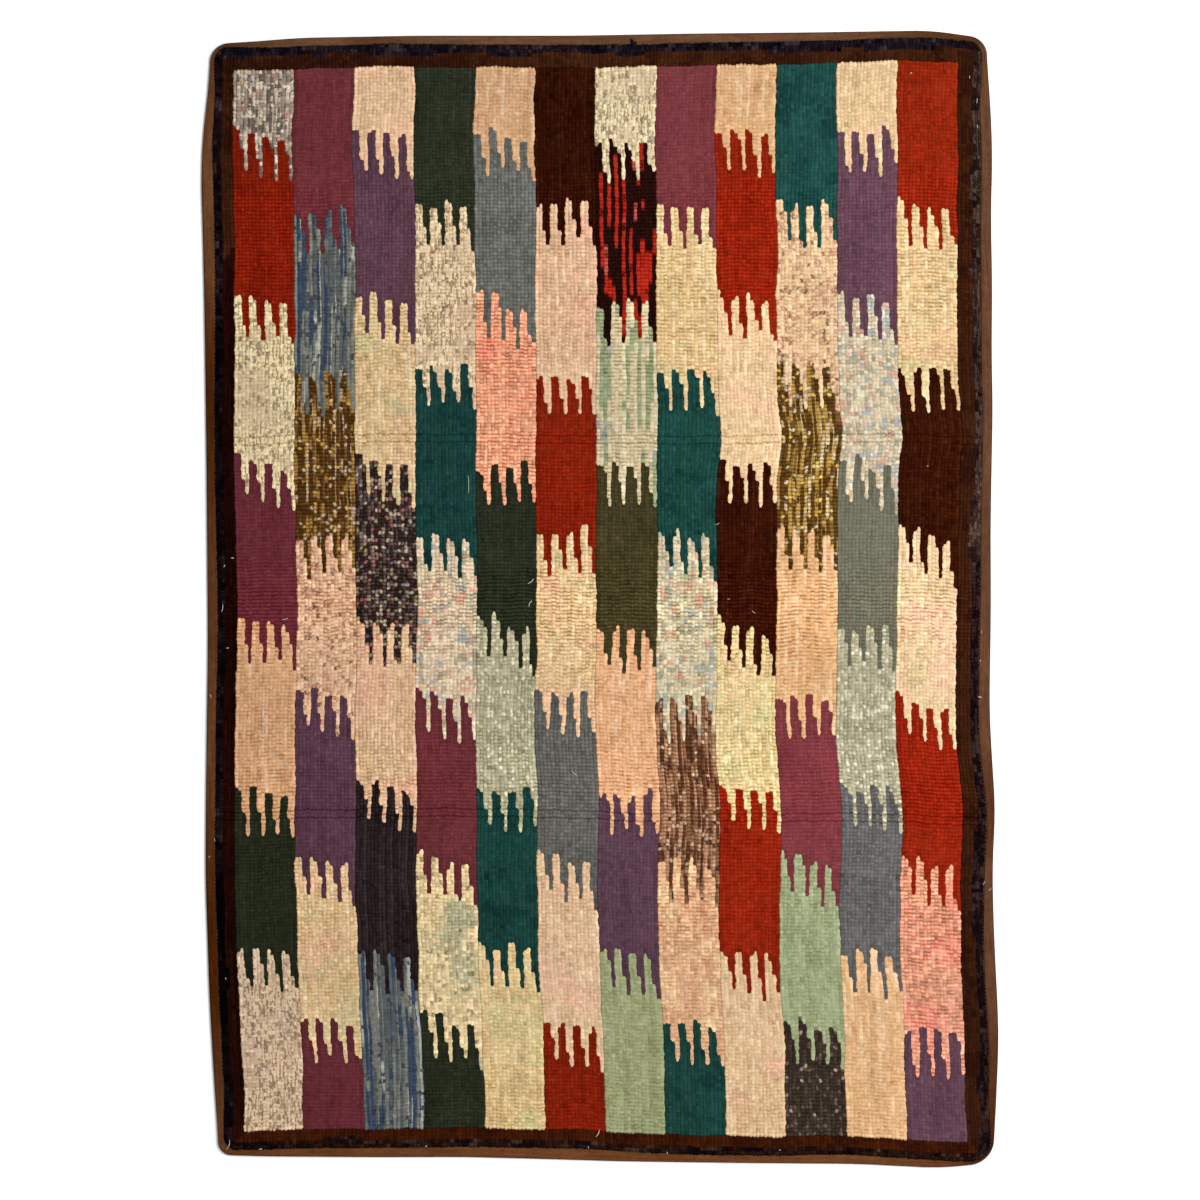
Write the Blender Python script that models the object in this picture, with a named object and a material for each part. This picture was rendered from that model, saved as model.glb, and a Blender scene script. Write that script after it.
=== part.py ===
"""A hooked rug: yarn loops hooked through a coarse foundation cloth, with a cloth tape sewn round its edge.

Metres, +Z up. The rug lies flat on the plane z = 0, centred on the origin, with its length along Y.
It has two pieces. "hooked_ground" is the foundation cloth with its loops, whose turned hem stands out
as a thin lip all round. "edge_binding" is the tape, folded round that lip: its front leg ends at the
wall of the loops, and its wider back leg lies in a step under them, level with the loops' backs.
"""

import math

import bmesh
import bpy
import numpy as np

MM = 0.001

# The rug as it was meant: a true rectangle. The tables below say how far its sides stray from that.
LENGTH = 1219.0 * MM
WIDTH = 852.7 * MM
HALF_X = WIDTH / 2
HALF_Y = LENGTH / 2

# How far each side lies outside the true rectangle, in mm. "share" runs down the long sides from the
# top corner, and along the short sides from the left corner.
SIDES = {
    "left": {
        "share": (0.0, 0.04, 0.075, 0.145, 0.25, 0.395, 0.54, 0.68, 0.75, 0.857, 0.93, 0.964, 1.0),
        "out": (-5.0, -3.3, 1.0, 4.3, 1.0, -1.0, -2.2, 0.0, -1.0, -5.4, -9.7, -12.0, -14.0),
    },
    "right": {
        "share": (0.0, 0.04, 0.11, 0.217, 0.324, 0.43, 0.59, 0.697, 0.75, 0.82, 0.892, 0.964, 1.0),
        "out": (-7.0, -5.4, -1.0, -1.0, 0.0, -3.0, -3.0, 1.0, -1.0, 2.0, 5.4, 2.2, 0.0),
    },
    "top": {
        "share": (0.0, 0.064, 0.114, 0.267, 0.47, 0.62, 0.775, 0.928, 0.978, 1.0),
        "out": (-7.0, -4.3, -2.2, 0.0, 0.0, 2.2, 3.3, 5.4, 0.0, -2.0),
    },
    "bottom": {
        "share": (0.0, 0.064, 0.318, 0.42, 0.52, 0.673, 0.826, 0.928, 0.978, 1.0),
        "out": (-7.5, -6.5, -5.4, -3.3, -1.0, 1.0, 2.2, 6.5, 3.3, 1.0),
    },
}
EASE = 0.02  # the sides bend softly: each reading is averaged over this share either way

# Corners: the radius of the tape's outer edge and of the loops' wall, and how much tape shows there.
CORNERS = {
    ("left", "top"): {"radius": 20.0 * MM, "pile_radius": 15.0 * MM, "tape": 5.0 * MM},
    ("right", "top"): {"radius": 18.0 * MM, "pile_radius": 14.0 * MM, "tape": 6.0 * MM},
    ("left", "bottom"): {"radius": 14.0 * MM, "pile_radius": 14.0 * MM, "tape": 6.5 * MM},
    ("right", "bottom"): {"radius": 24.0 * MM, "pile_radius": 20.0 * MM, "tape": 3.5 * MM},
}
TAPE_SHOWS = {"left": 10.5 * MM, "right": 11.0 * MM, "top": 9.5 * MM, "bottom": 9.0 * MM}
CORNER_REACH = 80.0 * MM  # the tape narrows over this length towards a corner

# Heights from the floor, and the tape's fold.
PILE_TOP = 7.5 * MM
LIP_LOW = 1.3 * MM
LIP_HIGH = 2.5 * MM
TAPE_THICK = 1.0 * MM
GAP = 0.3 * MM
TAPE_HIGH = LIP_HIGH + GAP + TAPE_THICK
FOLD_ROUND = 0.9 * MM
BACK_LEG = 9.0 * MM  # how far the back leg reaches in past the wall of the loops

# The loops roll over towards the tape: how far they drop, by the distance from their wall.
SHOULDER = {"inset": (0.0, 4.0, 9.0, 15.0), "drop": (2.2, 0.8, 0.15, 0.0)}
# The rug was kept folded in three, which left two shallow troughs across it.
CREASES = (
    {"y": 177.0 * MM, "depth": 0.8 * MM, "reach": 9.0 * MM},
    {"y": -242.0 * MM, "depth": 0.9 * MM, "reach": 9.0 * MM},
)
# The ground is a little uneven: broad swells with these numbers of waves over the width and length.
SWELLS = (
    {"across": 1.5, "along": 1.0, "height": 0.20 * MM, "start": 0.4},
    {"across": 2.5, "along": 4.5, "height": 0.15 * MM, "start": 1.9},
    {"across": 4.0, "along": 2.5, "height": 0.10 * MM, "start": 3.1},
)

# The lines of the top's grid, in from each side. They crowd towards the corners' arcs.
EDGE_LINES = (0.0, 4.0 * MM, 9.0 * MM, 15.0 * MM, 24.0 * MM)
GRID_STEP = 48.0 * MM


def out_of_true(side, share):
    """How far a side lies outside the true rectangle at this share of its length."""
    table = SIDES[side]
    readings = [np.interp(share + EASE * k, table["share"], table["out"]) for k in (-1, -0.5, 0, 0.5, 1)]
    return float(np.mean(readings)) * MM


def tape_width(side, share):
    """How much of the tape shows in front, which narrows towards both corners of the side."""
    ends = ("top", "bottom") if side in ("left", "right") else ("left", "right")
    length = LENGTH if side in ("left", "right") else WIDTH
    width = TAPE_SHOWS[side]
    for end, away in zip(ends, (share * length, (1 - share) * length)):
        corner = CORNERS[(side, end) if side in ("left", "right") else (end, side)]
        near = max(0.0, 1 - away / CORNER_REACH)
        width += (corner["tape"] - TAPE_SHOWS[side]) * near * near * (3 - 2 * near)
    return width


def corner_of(x, y):
    return CORNERS[("left" if x < 0 else "right", "top" if y > 0 else "bottom")]


def rounded(x, y, radius):
    """A point of the true rectangle, drawn in so that the rectangle's corner is an arc."""
    centre_x = max(-(HALF_X - radius), min(HALF_X - radius, x))
    centre_y = max(-(HALF_Y - radius), min(HALF_Y - radius, y))
    off_x, off_y = x - centre_x, y - centre_y
    if off_x == 0 or off_y == 0:
        return x, y
    pull = max(abs(off_x), abs(off_y)) / math.hypot(off_x, off_y)
    return centre_x + off_x * pull, centre_y + off_y * pull


def strayed(x, y, inside):
    """Where a point of the true rectangle really lies. inside(side, share) is what is left free there."""
    down, along = 0.5 - y / LENGTH, 0.5 + x / WIDTH
    left = -HALF_X - out_of_true("left", down) + inside("left", down)
    right = HALF_X + out_of_true("right", down) - inside("right", down)
    top = HALF_Y + out_of_true("top", along) - inside("top", along)
    bottom = -HALF_Y - out_of_true("bottom", along) + inside("bottom", along)
    return left + (right - left) * along, top + (bottom - top) * down


def outline_at(x, y):
    """A point of the true rectangle, on the rug as it lies out to the tape's outer edge."""
    return strayed(*rounded(x, y, corner_of(x, y)["radius"]), lambda side, share: 0.0)


def pile_at(x, y):
    """A point of the true rectangle, on the part of the rug that the loops cover."""
    return strayed(*rounded(x, y, corner_of(x, y)["pile_radius"]), tape_width)


def pile_height(nominal, real):
    """The top of the loops there: flat, but for the shoulder, the creases and the swells."""
    inset = min(HALF_X - abs(nominal[0]), HALF_Y - abs(nominal[1]))
    height = PILE_TOP - float(np.interp(inset / MM, SHOULDER["inset"], SHOULDER["drop"])) * MM
    for crease in CREASES:
        height -= crease["depth"] * max(0.0, 1 - abs(nominal[1] - crease["y"]) / crease["reach"])
    for swell in SWELLS:
        turns = swell["across"] * real[0] / WIDTH + swell["along"] * real[1] / LENGTH
        height += swell["height"] * (math.sin(2 * math.pi * turns + swell["start"]) - 1)
    return height


def grid_lines(half, creases=()):
    """Line positions from -half to half: crowded at both ends, even between, and five to each crease."""
    ends = [half - inset for inset in EDGE_LINES]
    inner = half - EDGE_LINES[-1]
    steps = round(2 * inner / GRID_STEP)
    even = [-inner + 2 * inner * k / steps for k in range(1, steps)]
    for crease in creases:
        even = [y for y in even if abs(y - crease["y"]) > 1.5 * crease["reach"]]
        even += [crease["y"] + crease["reach"] * k for k in (-1, -0.5, 0, 0.5, 1)]
    return sorted(ends + [-end for end in ends] + even)


def round_the_rim(columns, rows):
    """The grid's outermost (column, row) numbers in order, anticlockwise from the bottom left corner."""
    last_column, last_row = len(columns) - 1, len(rows) - 1
    bottom = [(i, 0) for i in range(last_column)]
    right = [(last_column, j) for j in range(last_row)]
    top = [(i, last_row) for i in range(last_column, 0, -1)]
    left = [(0, j) for j in range(last_row, 0, -1)]
    return bottom + right + top + left


def shifted(loop, distance):
    """The closed loop of flat points moved outwards by a distance, each along the loop's own normal."""
    moved = []
    for k, (x, y) in enumerate(loop):
        before, after = loop[k - 1], loop[(k + 1) % len(loop)]
        run_x, run_y = after[0] - before[0], after[1] - before[1]
        size = math.hypot(run_x, run_y)
        moved.append((x + distance * run_y / size, y - distance * run_x / size))
    return moved


def ring(mesh, loop, height):
    return [mesh.verts.new((x, y, height)) for x, y in loop]


def join_rings(mesh, first, second):
    """A band of four-sided faces between two rings of vertices."""
    for k in range(len(first)):
        after = (k + 1) % len(first)
        mesh.faces.new((first[k], first[after], second[after], second[k]))


def make_ground(columns, rows, wall, rim, centre):
    """The foundation cloth and its loops: the uneven top, the wall, the hem's lip, the step and the flat back."""
    mesh = bmesh.new()
    bmesh.ops.create_grid(mesh, x_segments=len(columns) - 1, y_segments=len(rows) - 1, size=0.5)
    mesh.verts.ensure_lookup_table()
    grid = {}
    for vertex in mesh.verts:
        i = round((vertex.co.x + 0.5) * (len(columns) - 1))
        j = round((vertex.co.y + 0.5) * (len(rows) - 1))
        grid[i, j] = vertex
    for (i, j), vertex in grid.items():
        nominal = (columns[i], rows[j])
        real = pile_at(*nominal)
        vertex.co = (real[0] - centre[0], real[1] - centre[1], pile_height(nominal, real))
    lip = shifted(rim, -(TAPE_THICK + GAP))
    step = shifted(wall, -BACK_LEG)
    rings = [
        [grid[place] for place in round_the_rim(columns, rows)],
        ring(mesh, wall, LIP_HIGH),
        ring(mesh, lip, LIP_HIGH),
        ring(mesh, lip, LIP_LOW),
        ring(mesh, step, LIP_LOW),
        ring(mesh, step, 0.0),
    ]
    for upper, lower in zip(rings, rings[1:]):
        join_rings(mesh, upper, lower)
    mesh.faces.new(rings[-1])
    return mesh


def make_binding(wall, rim):
    """The tape: its section, from the outer fold over the front leg and back along the rear leg."""
    fold = shifted(rim, -FOLD_ROUND)
    inner_fold = shifted(rim, -TAPE_THICK)
    front_end = shifted(wall, GAP)
    back_end = shifted(wall, GAP - BACK_LEG)
    section = (
        (rim, FOLD_ROUND),
        (rim, TAPE_HIGH - FOLD_ROUND),
        (fold, TAPE_HIGH),
        (front_end, TAPE_HIGH),
        (front_end, TAPE_HIGH - TAPE_THICK),
        (inner_fold, TAPE_HIGH - TAPE_THICK),
        (inner_fold, TAPE_THICK),
        (back_end, TAPE_THICK),
        (back_end, 0.0),
        (fold, 0.0),
    )
    mesh = bmesh.new()
    rings = [ring(mesh, loop, height) for loop, height in section]
    for first, second in zip(rings, rings[1:] + rings[:1]):
        join_rings(mesh, first, second)
    return mesh


def cloth_material(name, colour, roughness):
    material = bpy.data.materials.new(name)
    material.use_nodes = True
    shader = material.node_tree.nodes["Principled BSDF"]
    shader.inputs["Base Color"].default_value = (*colour, 1.0)
    shader.inputs["Roughness"].default_value = roughness
    shader.inputs["Metallic"].default_value = 0.0
    return material


def add_object(name, mesh, collection, material):
    """A bmesh made into an object, facing outwards, smooth but for its sharp edges."""
    bmesh.ops.recalc_face_normals(mesh, faces=mesh.faces)
    data = bpy.data.meshes.new(name)
    mesh.to_mesh(data)
    mesh.free()
    data.shade_smooth()
    data.set_sharp_from_angle(angle=math.radians(40))
    data.materials.append(material)
    collection.objects.link(bpy.data.objects.new(name, data))


def main():
    for old in list(bpy.data.objects):
        bpy.data.objects.remove(old)
    collection = bpy.data.collections.new("hooked_rug")
    bpy.context.scene.collection.children.link(collection)

    columns = grid_lines(HALF_X)
    rows = grid_lines(HALF_Y, CREASES)
    around = [(columns[i], rows[j]) for i, j in round_the_rim(columns, rows)]
    rim = [outline_at(*point) for point in around]
    wall = [pile_at(*point) for point in around]
    # The sides stray unevenly, so the middle of the finished outline is brought to the origin.
    centre = [(min(axis) + max(axis)) / 2 for axis in zip(*rim)]
    rim = [(x - centre[0], y - centre[1]) for x, y in rim]
    wall = [(x - centre[0], y - centre[1]) for x, y in wall]

    yarn = cloth_material("wool_yarn", (0.36, 0.22, 0.15), 0.95)
    tape = cloth_material("cotton_tape", (0.13, 0.06, 0.03), 0.85)
    add_object("hooked_ground", make_ground(columns, rows, wall, rim, centre), collection, yarn)
    add_object("edge_binding", make_binding(wall, rim), collection, tape)


main()
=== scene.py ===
"""The looks of a hooked rug: loops of yarn in blocks that meet in fingers, dark borders and a cloth tape.

Metres, +Z up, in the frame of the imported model: the rug lies on z = 0 with its length along Y.
The loops stand in a grid. Rows run along Y and are counted from the left, and the loops of a row are
counted from the top. Seen closely, each loop is six faces: three strands wide and two faces long.
"""

import math
from typing import NamedTuple

import bpy
import numpy as np
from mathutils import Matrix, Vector

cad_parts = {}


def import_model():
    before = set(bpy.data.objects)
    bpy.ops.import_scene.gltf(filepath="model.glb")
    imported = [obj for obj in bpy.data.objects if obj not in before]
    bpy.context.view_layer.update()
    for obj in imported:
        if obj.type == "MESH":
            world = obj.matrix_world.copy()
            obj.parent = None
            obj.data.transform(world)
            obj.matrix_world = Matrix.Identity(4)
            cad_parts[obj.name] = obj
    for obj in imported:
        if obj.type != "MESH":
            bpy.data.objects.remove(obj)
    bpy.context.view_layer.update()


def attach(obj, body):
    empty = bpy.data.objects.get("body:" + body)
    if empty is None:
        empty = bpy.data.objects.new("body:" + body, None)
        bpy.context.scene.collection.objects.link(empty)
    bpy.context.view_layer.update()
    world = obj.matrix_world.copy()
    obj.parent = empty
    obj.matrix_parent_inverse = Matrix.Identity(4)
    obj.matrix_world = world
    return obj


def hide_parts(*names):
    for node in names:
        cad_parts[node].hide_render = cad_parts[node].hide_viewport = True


SEED = 4117
MM = 0.001

# The rug's plan: a true rectangle, and how far its sides stray from it in mm. "share" runs down the
# long sides from the top corner, and along the short sides from the left corner.
LENGTH = 1219.0 * MM
WIDTH = 852.7 * MM
HALF_X = WIDTH / 2
HALF_Y = LENGTH / 2
SIDES = {
    "left": {
        "share": (0.0, 0.04, 0.075, 0.12, 0.163, 0.25, 0.395, 0.54, 0.68, 0.75,
                  0.82, 0.857, 0.93, 0.964, 1.0),
        "out": (-5.0, -3.0, 2.9, 5.5, 3.7, 1.5, -0.7, -2.0, 0.2, 0.6,
                -2.2, -3.6, -8.5, -11.4, -14.0),
    },
    "right": {
        "share": (0.0, 0.04, 0.065, 0.11, 0.154, 0.217, 0.288, 0.324, 0.43, 0.51,
                  0.599, 0.643, 0.688, 0.732, 0.776, 0.82, 0.865, 0.892, 0.964, 1.0),
        "out": (-6.5, -3.6, -1.1, 0.6, -1.2, 0.3, -0.3, 1.0, -1.4, -1.1,
                -2.7, 0.3, 3.9, 0.6, 1.4, 3.6, 6.5, 7.4, 3.5, 0.8),
    },
    "top": {
        "share": (0.0, 0.064, 0.114, 0.267, 0.47, 0.62, 0.775, 0.928, 0.978, 1.0),
        "out": (-8.0, -4.6, -1.1, 1.3, 1.3, 3.6, 4.9, 6.9, 1.0, -1.5),
    },
    "bottom": {
        "share": (0.0, 0.064, 0.2, 0.318, 0.42, 0.52, 0.673, 0.826, 0.928, 0.978, 1.0),
        "out": (-6.0, -4.4, -3.6, -3.8, -1.6, 0.9, 2.7, 3.7, 8.1, 4.5, 2.0),
    },
}
EASE = 0.02  # the share of a side's length that the corners of such tables are eased over
CORNERS = {
    ("left", "top"): {"radius": 20.0 * MM, "pile_radius": 15.0 * MM, "tape": 5.0 * MM},
    ("right", "top"): {"radius": 18.0 * MM, "pile_radius": 14.0 * MM, "tape": 6.0 * MM},
    ("left", "bottom"): {"radius": 14.0 * MM, "pile_radius": 14.0 * MM, "tape": 6.5 * MM},
    ("right", "bottom"): {"radius": 24.0 * MM, "pile_radius": 20.0 * MM, "tape": 3.5 * MM},
}
# How much of the tape shows in front along each side, in mm, and how pale it is there, from 0 for
# TAPE_DARK to 1 for the side's own TAPE_PALE.
TAPE_ALONG = {
    "left": {
        "share": (0.0, 0.07, 0.12, 0.19, 0.25, 0.32, 0.38, 0.45,
                  0.52, 0.61, 0.66, 0.72, 0.78, 0.87, 0.93, 1.0),
        "shows": (9.0, 9.7, 13.8, 13.6, 12.4, 10.4, 9.8, 11.0,
                  12.2, 10.6, 11.2, 11.0, 11.2, 11.2, 11.0, 10.5),
        "pale": (0.6, 0.98, 0.98, 0.87, 0.28, 0.02, 0.12, 0.55,
                 0.5, 0.8, 0.66, 0.34, 0.05, 0.0, 0.5, 0.85),
    },
    "right": {
        "share": (0.0, 0.06, 0.16, 0.20, 0.29, 0.34, 0.46, 0.51,
                  0.60, 0.64, 0.69, 0.75, 0.82, 0.865, 0.91, 1.0),
        "shows": (12.0, 13.0, 12.4, 13.2, 12.6, 11.4, 11.8, 13.0,
                  13.2, 14.2, 9.2, 10.2, 14.0, 13.8, 10.6, 9.0),
        "pale": (0.88, 1.05, 1.02, 1.0, 0.96, 0.96, 0.94, 0.96,
                 0.95, 0.9, 0.35, 0.98, 0.87, 0.87, 0.5, 0.1),
    },
    "top": {
        "share": (0.0, 0.10, 0.17, 0.22, 0.28, 0.35, 0.47, 0.54, 0.66, 0.80, 0.86, 0.92, 1.0),
        "shows": (8.0, 9.8, 10.1, 8.4, 10.4, 10.8, 11.2, 11.6, 11.0, 10.4, 9.2, 8.4, 8.0),
        "pale": (0.45, 0.97, 0.97, 0.5, 1.0, 1.0, 1.0, 0.85, 1.0, 1.02, 0.9, 0.45, 0.45),
    },
    "bottom": {
        "share": (0.0, 0.10, 0.22, 0.41, 0.48, 0.54, 0.60, 0.73, 0.80, 0.90, 1.0),
        "shows": (8.0, 10.2, 11.4, 12.8, 13.4, 11.0, 9.2, 9.2, 11.2, 9.6, 9.0),
        "pale": (0.7, 0.87, 0.98, 1.03, 0.98, 0.98, 0.95, 0.92, 0.95, 0.92, 0.46),
    },
}
CORNER_REACH = 80.0 * MM  # over how far from a corner the tape takes on the corner's own width
OUTLINE_STEP = 4.0 * MM  # between the points that the outline's middle is worked out from

# Heights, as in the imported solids.
PILE_TOP = 7.5 * MM
SHOULDER = {"inset": (0.0, 4.0, 9.0, 15.0), "drop": (2.2, 0.8, 0.15, 0.0)}  # in mm
# Two creases cross the rug. "kick" is how far the loops on the right are pushed up there, and "light" is
# the light that is left in the gaps that the crease opens.
CREASES = (
    {"y": 176.0 * MM, "depth": 0.8 * MM, "reach": 9.0 * MM, "kick": 3.6 * MM, "light": 0.40},
    {"y": -240.0 * MM, "depth": 0.9 * MM, "reach": 9.0 * MM, "kick": 0.0, "light": 0.25},
)
KICK_REACH = 24.0 * MM  # how far from the crease the kick dies away
KICK_FROM = (60.0 * MM, 160.0 * MM)  # the x that it starts at, and the one where it is full
SWELLS = (
    {"across": 1.5, "along": 1.0, "height": 0.20 * MM, "start": 0.4},
    {"across": 2.5, "along": 4.5, "height": 0.15 * MM, "start": 1.9},
    {"across": 4.0, "along": 2.5, "height": 0.10 * MM, "start": 3.1},
)
HEM = {"low": 1.3 * MM, "high": 2.5 * MM, "inset": 1.3 * MM}
BACK_LEG = 9.0 * MM  # how far the loops' backs are raised from the edge, for the tape's back leg
CLEARANCE = 0.1 * MM

# The chart of the loops.
COLUMNS = 12
COLUMN_ROWS = 16
FIELD_ROWS = COLUMNS * COLUMN_ROWS
FIELD_LOOPS = 286
BORDER = {"left": 5, "right": 6, "top": 6, "bottom": 5}
ROWS = BORDER["left"] + FIELD_ROWS + BORDER["right"]
LOOPS = BORDER["top"] + FIELD_LOOPS + BORDER["bottom"]
STRANDS = 3  # faces across a loop
STEPS = 2  # faces along a loop
HALVES = LOOPS * STEPS
LOOP_GRID = (ROWS, LOOPS)
POINT_GRID = (ROWS * STRANDS + 1, HALVES + 1)

# A block ends in fingers of four rows each. These are the loops that each row rises above the lowest.
BLOCK_LOOPS = 43.8
FIRST_TIP = (19, 38)  # the first fingers' tips, in columns that start with a light and with a dark block
FINGERS = (
    (11, 11, 5, 0),
    (11, 11, 4, 0),
    (11, 10, 6, 0),
    (12, 11, 6, 2),
    (10, 11, 3, 0),
    (11, 11, 8, 1),
)
FINGER_ROWS = 4
BOUNDARIES = 6
# How many loops the fingers stray by: a whole line of them, its slope from row to row, the three higher
# rows of a finger, the third one alone, and single rows.
ASTRAY = {"line": 1.0, "slope": (-0.12, 0.3), "finger": 1.2, "third": 1.2, "row": 0.5}
MOST_DEALS = 200  # how often the yarns' deck is shuffled anew before the script gives up


class Yarn(NamedTuple):
    """A yarn as it looks from above. Colours are sRGB from 0 to 255, followed by their share."""

    blocks: int  # how many blocks are hooked with it
    strands: tuple
    run: float = 6.0  # how many loops a strand's colour lasts
    thick: int = 3  # how many of a loop's three strands change colour together
    flecks: tuple = ()  # dabs of other colours on single loops, with their shares of all loops
    clouds: tuple = ()  # colours that come and go in soft patches, with their shares
    cloud: float = 4.0  # how many loops such a patch measures
    spread: float = 0.05  # how much single loops differ in tone
    mottle: float = 0.04  # how much larger patches differ in tone
    row_gap: float = 1.2  # depth of the gaps between rows, in mm
    loop_gap: float = 1.2  # depth of the gaps between a row's loops, in mm
    rise: float = 0.0  # how much higher its loops stand, in mm
    stray: float = 0.5  # how far its loops lie out of line with those of the next rows, in mm


LIGHT_YARNS = {
    "flesh cream": Yarn(8, ((228, 190, 149, 0.6), (220, 181, 140, 0.25), (237, 203, 163, 0.15)), cloud=8,
                        clouds=((236, 186, 152, 0.2), (224, 192, 146, 0.15)),
                        spread=0.085, mottle=0.04, row_gap=1.35, loop_gap=1.1, rise=0.3, stray=1.5),
    "yellow cream": Yarn(7, ((222, 191, 140, 0.6), (214, 180, 130, 0.25), (231, 204, 157, 0.15)), cloud=8,
                         clouds=((228, 186, 143, 0.15), (212, 194, 142, 0.12)),
                         spread=0.10, mottle=0.05, row_gap=1.3, loop_gap=1.4, rise=0.3, stray=1.2),
    "peach": Yarn(6, ((222, 172, 127, 0.7), (213, 161, 117, 0.2), (231, 187, 146, 0.1)),
                  spread=0.07, mottle=0.05, row_gap=1.0, loop_gap=1.3, rise=0.3, stray=0.8),
    "salmon": Yarn(2, ((221, 159, 128, 0.7), (211, 148, 117, 0.3)), cloud=8,
                   clouds=((228, 166, 134, 0.15), (222, 142, 118, 0.2)),
                   spread=0.15, mottle=0.07, row_gap=1.5, loop_gap=2.2, rise=0.3, stray=0.6),
    "pink": Yarn(1, ((216, 168, 131, 0.7), (207, 154, 119, 0.3)), cloud=5, clouds=((228, 190, 146, 0.3),),
                 spread=0.10, mottle=0.06, row_gap=1.2, loop_gap=1.7, rise=0.3, stray=0.6),
    "cream tweed": Yarn(4, ((236, 211, 170, 0.7), (176, 148, 116, 0.3)), run=1.0, thick=1, cloud=6,
                        clouds=((216, 188, 152, 0.3),), flecks=((236, 216, 180, 0.1), (146, 120, 96, 0.1)),
                        spread=0.08, row_gap=1.3, loop_gap=1.1, rise=0.3, stray=1.2),
    "fleck cream": Yarn(2, ((218, 178, 141, 0.7), (229, 191, 154, 0.3)), run=4,
                        flecks=((160, 106, 88, 0.14), (196, 140, 118, 0.14), (104, 74, 60, 0.05)),
                        spread=0.08, row_gap=1.4, loop_gap=1.1, rise=0.3, stray=1.4),
    "pastel": Yarn(3, ((212, 194, 158, 0.6), (226, 210, 176, 0.4)), run=1.6, thick=2, cloud=1.8,
                   clouds=((174, 166, 136, 0.2), (214, 166, 140, 0.14), (172, 174, 164, 0.13)),
                   flecks=((232, 218, 186, 0.1), (166, 148, 122, 0.06)),
                   spread=0.08, row_gap=1.3, loop_gap=1.2, rise=0.3, stray=1.2),
    "silver grey": Yarn(2, ((184, 175, 143, 0.6), (168, 159, 129, 0.4)), run=2.5, thick=2,
                        flecks=((224, 215, 184, 0.2), (146, 138, 112, 0.08)),
                        spread=0.10, mottle=0.08, row_gap=1.4, loop_gap=1.2, rise=0.2, stray=1.2),
    "mint": Yarn(2, ((156, 160, 121, 0.7), (146, 150, 111, 0.3)), run=8, spread=0.08, mottle=0.07,
                 row_gap=1.0, loop_gap=1.3, rise=0.2, stray=0.7),
    "greenish cream": Yarn(1, ((238, 214, 160, 0.6), (222, 198, 145, 0.4)), run=2, cloud=7,
                           clouds=((186, 182, 142, 0.3),), flecks=((150, 132, 92, 0.10),), spread=0.13,
                           row_gap=1.4, loop_gap=1.3, rise=0.3, stray=1.2),
    "blue stripe": Yarn(2, ((60, 75, 97, 0.28), (92, 99, 98, 0.32), (124, 128, 115, 0.28),
                            (168, 171, 158, 0.12)), run=14, thick=2, flecks=((60, 62, 62, 0.08),),
                        spread=0.1, row_gap=1.3, loop_gap=1.1, stray=1.0),
    "speckle": Yarn(1, ((161, 143, 130, 0.45), (113, 98, 93, 0.35), (208, 190, 173, 0.2)), run=1.6, thick=2,
                    flecks=((236, 221, 200, 0.22), (200, 138, 122, 0.06), (196, 178, 134, 0.05)),
                    spread=0.1, row_gap=1.3, loop_gap=1.3, rise=0.2, stray=0.8),
    "pastel stripe": Yarn(1, ((210, 190, 152, 0.5), (150, 157, 119, 0.35), (226, 210, 170, 0.15)), run=26,
                          cloud=5, clouds=((152, 152, 144, 0.06),),
                          spread=0.09, row_gap=1.2, loop_gap=1.8, rise=0.2, stray=0.5),
}
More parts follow.
